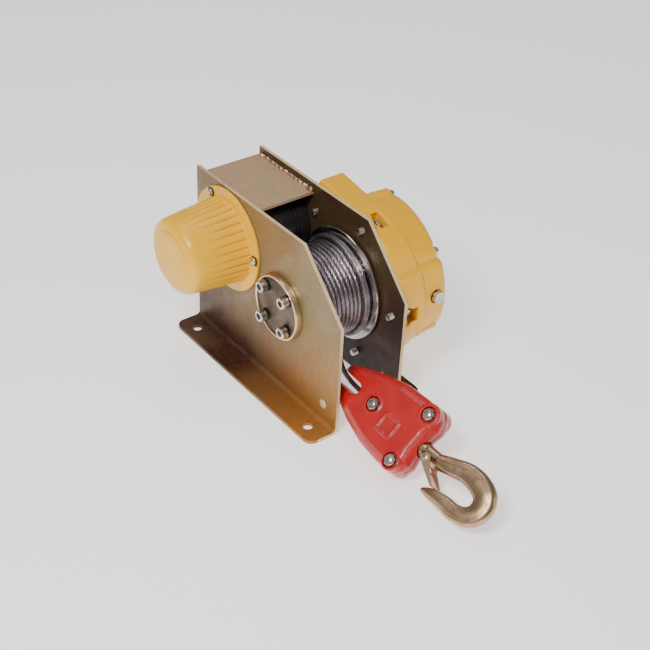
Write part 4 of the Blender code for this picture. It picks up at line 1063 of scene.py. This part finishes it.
def make_gear_case_cover():
    low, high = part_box("gear_case_cover")
    back, end = low.x - MID_X, high.x - MID_X - INSIDE
    levels = ((back, 1.0), (back + 1.0 * MM, 0.0), (end - 9 * MM, 1.8), (end - 5.5 * MM, 3.0),
              (end - 2.6 * MM, 5.4), (end - 0.7 * MM, 8.6), (end, 12.5))
    deck = pear(DECK_R, DECK_MOTOR_R)
    parts = [solid_along_x("body", [(height, cover_outline(inset * MM))
                                    for height, inset in levels]),
             solid_along_x("deck", [(back, deck), (FAR_OUT + DECK_DEPTH, deck)])]
    for point, seat in bolt_seats():
        parts.append(cylinder_x("lug", point, 9.2 * MM, back, seat))
    plug_low, plug_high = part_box("oil_plug")
    plug = (plug_low + plug_high) / 2
    outward = Vector((0, plug.y - DRUM.y, plug.z - DRUM.z)).normalized()
    base = Vector((plug.x, DRUM.y, DRUM.z)) + outward * (COVER_R + BULGE - 2.0 * MM)
    boss = in_mm((0.0, -12), (11.0, -12), (11.0, 0.6), (10.2, 1.4), (0.0, 1.4))
    parts.append(lathe("plug_boss", boss, toward(base, outward), (), 48))
    cover = merged("gear_case_cover_casting", parts, CASTING_VOXEL)
    for point, seat in bolt_seats():
        carve(cover, cylinder_x("seat", point, 8.4 * MM, seat, end + 5 * MM))
    cast_surface(cover, CASTING_VOXEL, 3, [YELLOW_CAST])
    settle(cover, "frame", "yellow_paint", "gear_case_cover")
    head = hex_shape("head", 15.0 * MM, 6.0 * MM, toward(base + outward * 1.8 * MM, outward),
                     FASTENER, 12.0)
    ring = washer("washer", 8.8 * MM, 4 * MM, 1.4 * MM, toward(base + outward * 0.9 * MM, outward),
                  DARK_STEEL)
    joined("oil_plug_fine", [head, ring], "frame", "bright_zinc", "oil_plug")


# ---- hook block

BLOCK_HALF_T = 17.0 * MM
BLOCK_VOXEL = 0.7 * MM
NUTS = ((0.0, 64.0), (33.0, 0.0), (-33.0, 0.0))     # across and along the block, in mm


def block_outline(inset):
    """Half-width at each distance along the block, mirrored about its middle line."""
    half = [(9.0, 129.0), (17.0, 127.0), (24.0, 112.0), (34.0, 86.0), (43.0, 52.0),
            (45.5, 20.0), (45.0, 0.0), (42.5, -9.0), (35.0, -16.0), (25.0, -19.0), (12.0, -16.0)]
    right = [Vector((x * MM, y * MM)) for x, y in half]
    points = right + [Vector((-p.x, p.y)) for p in reversed(right)]
    moved = []
    for i, point in enumerate(points):
        run = (points[(i + 1) % len(points)] - points[i - 1]).normalized()
        moved.append(point + Vector((run.y, -run.x)) * inset)
    return moved


def turned_along(profile, steps=48):
    """A solid turned about the block's long axis; heights run towards the hook."""
    return lathe("turned", profile, BLOCK @ Matrix.Rotation(math.radians(90), 4, "X"), (), steps)


def turned_up(x, y, profile, steps=48):
    return lathe("turned", profile, BLOCK @ Matrix.Translation((x, y, 0)), (), steps)


def make_block_shell(name, node, side):
    """One half of the block: side is 1 for the upper and -1 for the lower."""
    steps = ((0.0, 0.15), (0.3, 7.5), (1.2, 9.5), (5.0, 13.0), (10.5, 16.2), (13.0, 16.6))
    rings = []
    for inset, height in steps:
        rings.append([BLOCK @ Vector((p.x, p.y, side * height * MM))
                      for p in block_outline(inset * MM)])
    parts = [skin("body", rings, ())]
    for number, (x, y) in enumerate(NUTS):
        reach = (11.6, 13.6, 12.0)[number] * MM
        top = BLOCK_HALF_T + (0.5 * MM if number != 1 else 0.6 * MM)
        parts.append(turned_up(x * MM, y * MM, [(0.0, side * 2 * MM), (reach, side * 2 * MM),
                                                (reach, side * (top - 1.2 * MM)),
                                                (reach - 1.2 * MM, side * top), (0.0, side * top)]))
    if side > 0:
        panel = []
        for half, height in ((12.0, 12.0), (12.0, 17.9), (9.2, 17.9), (9.2, 12.0)):
            square = round_square((-7 * MM, 32 * MM), half * MM, 3.5 * MM)
            panel.append([BLOCK @ Vector((x, y, height * MM)) for x, y in square])
        parts.append(skin("panel", panel, (), closed=True))
    shell = merged(name, parts, BLOCK_VOXEL)
    mouth = [(-7.5 * MM, 0.14), (-7.5 * MM, 0.0975)] + arc((0, 0.0975), 7.5 * MM, 180, 360, 16)[1:]
    mouth.append((7.5 * MM, 0.14))
    carve(shell, extrude("mouth", mouth, -0.03, 0.03, BLOCK))
    rope_channel = in_mm((0.0, -60), (4.5, -60), (4.5, -100), (0.0, -100))
    carve(shell, turned_along(rope_channel))
    thimble_room = in_mm((0.0, 4.9), (10, 4.9), (10, -4.9), (0.0, -4.9))
    carve(shell, turned_up(0.0, 64 * MM, thimble_room))
    shank_room = in_mm((0.0, 30), (10.5, 30), (10.5, 6), (14.3, 6), (14.3, -22), (0.0, -22))
    carve(shell, turned_along(shank_room))
    for x, y in NUTS:
        pocket = in_mm((0.0, side * 12), (9.4, side * 12), (9.4, side * 24), (0.0, side * 24))
        carve(shell, turned_up(x * MM, y * MM, pocket))
    cast_surface(shell, BLOCK_VOXEL, 3, [RED])
    return settle(shell, "frame", "red_paint", node)


def make_block_fasteners():
    """Nuts with washers and threaded ends above, and bolt heads below."""
    made = []
    for number, (x, y) in enumerate(NUTS, 1):
        spot = BLOCK @ Matrix.Translation((x * MM, y * MM, 0))
        nut = "block_nut_%d" % number
        seat = spot @ Matrix.Translation((0, 0, 12.3 * MM))
        parts = [washer("washer", 7.0 * MM, 4.3 * MM, 1.2 * MM, seat),
                 hex_shape("nut", 13.0 * MM, 5.6 * MM,
                           seat @ Matrix.Translation((0, 0, 1.2 * MM)), FASTENER, 17.0 * number)]
        made.append(joined(nut + "_fine", parts, "frame", "bright_zinc", nut))
        bolt = "block_bolt_%d" % number
        below = spot @ Matrix.Rotation(math.pi, 4, "X") @ Matrix.Translation((0, 0, 12.3 * MM))
        parts = [hex_shape("head", 13.0 * MM, 4.6 * MM, below, FASTENER, 40.0 * number),
                 thread("end", 4.0 * MM, -20 * MM, 20.5 * MM, spot)]
        made.append(joined(bolt + "_fine", parts, "frame", "bright_zinc", bolt))
    return made


# ---- hook

HOOK_SECTIONS = (                    # across, along, half-width, half-thickness, in mm
    (0.0, 16.0, 9.5, 9.5), (0.0, -19.5, 9.5, 9.5), (0.0, -21.0, 9.5, 6.5),
    (0.5, -37.0, 9.5, 6.5), (1.5, -40.0, 9.5, 9.0), (7.5, -58.0, 10.8, 9.0),
    (13.0, -75.0, 12.0, 9.0), (13.0, -92.0, 13.0, 9.0), (8.0, -107.0, 13.4, 9.0),
    (-2.0, -114.2, 13.2, 9.0), (-14.0, -113.8, 12.4, 9.0), (-23.5, -106.0, 11.2, 9.0),
    (-28.0, -93.0, 10.0, 9.0), (-28.5, -78.0, 9.4, 9.0), (-29.5, -66.0, 8.2, 8.2),
    (-31.5, -54.0, 6.2, 6.2), (-33.5, -46.0, 3.2, 3.2),
)


def make_hook():
    """A forging: round shank and neck flats, then a section with a flat outer flank."""
    straight = 4
    sections = [Vector(section) for section in HOOK_SECTIONS]
    stations = sections[:straight] + smooth_route(sections[straight:], 6)
    last = stations[-1]
    for shift, size in ((1.2, 0.86), (2.1, 0.6), (2.6, 0.25)):
        stations.append(Vector((last.x - 0.25 * shift, last.y + shift,
                                last.z * size, last.w * size)))
    rings = []
    count = len(stations)
    for i, (x, y, half, thick) in enumerate(stations):
        before, after = stations[max(i - 1, 0)], stations[min(i + 1, count - 1)]
        run = Vector((after.x - before.x, after.y - before.y)).normalized()
        side = Vector((run.y, -run.x))
        bend = min(1.0, max(0.0, (-40.0 - y) / 14.0)) if i >= straight else 0.0
        ring = []
        for k in range(40):
            angle = 2 * math.pi * k / 40
            across, up = math.cos(angle), math.sin(angle)
            power = 1.0 - 0.22 * bend
            wide = math.copysign(abs(across) ** power, across)
            tall = math.copysign(abs(up) ** power, up)
            taper = 1.0 - 0.12 * bend * (0.5 - 0.5 * across)
            ridge = 1.0 - 0.07 * bend * math.exp(-((abs(across) - 0.42) / 0.13) ** 2)
            ring.append(BLOCK @ Vector(((x + side.x * half * wide) * MM,
                                        (y + side.y * half * wide) * MM,
                                        thick * tall * taper * ridge * MM)))
        rings.append(ring)
    hook = skin("hook_forging", rings, [FORGED], 38.0)
    return settle(hook, "hook", "forged_hook", "hook")


def make_hook_parts():
    latch = refined("hook_latch", [LATCH], 0.35 * MM)
    settle(latch, "latch", "latch_sheet")
    pivot = toward(Vector(JOINTS["hook_latch"]["pos_m"]), JOINTS["hook_latch"]["axis"])
    half = in_mm((0.0, 13.9), (2.4, 13.7), (3.6, 12.9), (3.7, 12.1), (2.0, 12.1))
    profile = half + [(r, -height) for r, height in reversed(half)]
    pin = lathe("latch_rivet", profile, pivot, [FASTENER], 32)
    settle(pin, "hook", "bright_zinc", "latch_pin")
    turns = []
    for i in range(97):
        angle = 2 * math.pi * i / 32
        turns.append(pivot @ Vector((3.4 * MM * math.cos(angle), 3.4 * MM * math.sin(angle),
                                     (7.4 + 2.1 * i / 96) * MM)))
    spring = round_wire("latch_spring_coil", turns, 0.42 * MM)
    settle(spring, "hook", "machined_steel", "latch_spring")


def round_wire(name, path, radius):
    angles = [2 * math.pi * k / 10 for k in range(10)]
    rings = [[point + (side * math.cos(a) + up * math.sin(a)) * radius for a in angles]
             for point, side, up in along_path(path)]
    return skin(name, rings, [GEAR_STEEL], 0)


# ---- finishes of the other nodes

FINISHES = {
    FASTENER: ("hook_collar", "rope_thimble"),
    DARK_STEEL: ("bearing_housing", "drum_bearing_near", "drum_bearing_far", "drum_shaft",
                 "rotor_core", "rotor_shaft"),
    GEAR_STEEL: ("output_gear", "reduction_pinion", "reduction_gear", "motor_pinion",
                 "countershaft"),
    BLACK: ("motor_end_shield", "cooling_fan"),
    COPPER: ("motor_stator",),
    BRONZE: ("countershaft_bush_rear", "countershaft_bush_front"),
}


def finish_inner_nodes():
    for material, names in FINISHES.items():
        for name in names:
            finish_as(NODES[name].data, material)


# ---- build

make_camera()
make_studio()
make_plates()
make_welds()
make_bearing_cover()
make_drum()
make_motor()
make_motor_cover()
make_gear_case()
make_gear_case_cover()
make_hex_bolts()
finish_inner_nodes()
make_hook()
make_hook_parts()
on_rope = [
    make_block_shell("block_upper_casting", "block_shell_upper", 1),
    make_block_shell("block_lower_casting", "block_shell_lower", -1),
    *make_block_fasteners(),
    NODES["hook_collar"],
    NODES["rope_thimble"],
]
make_free_rope()
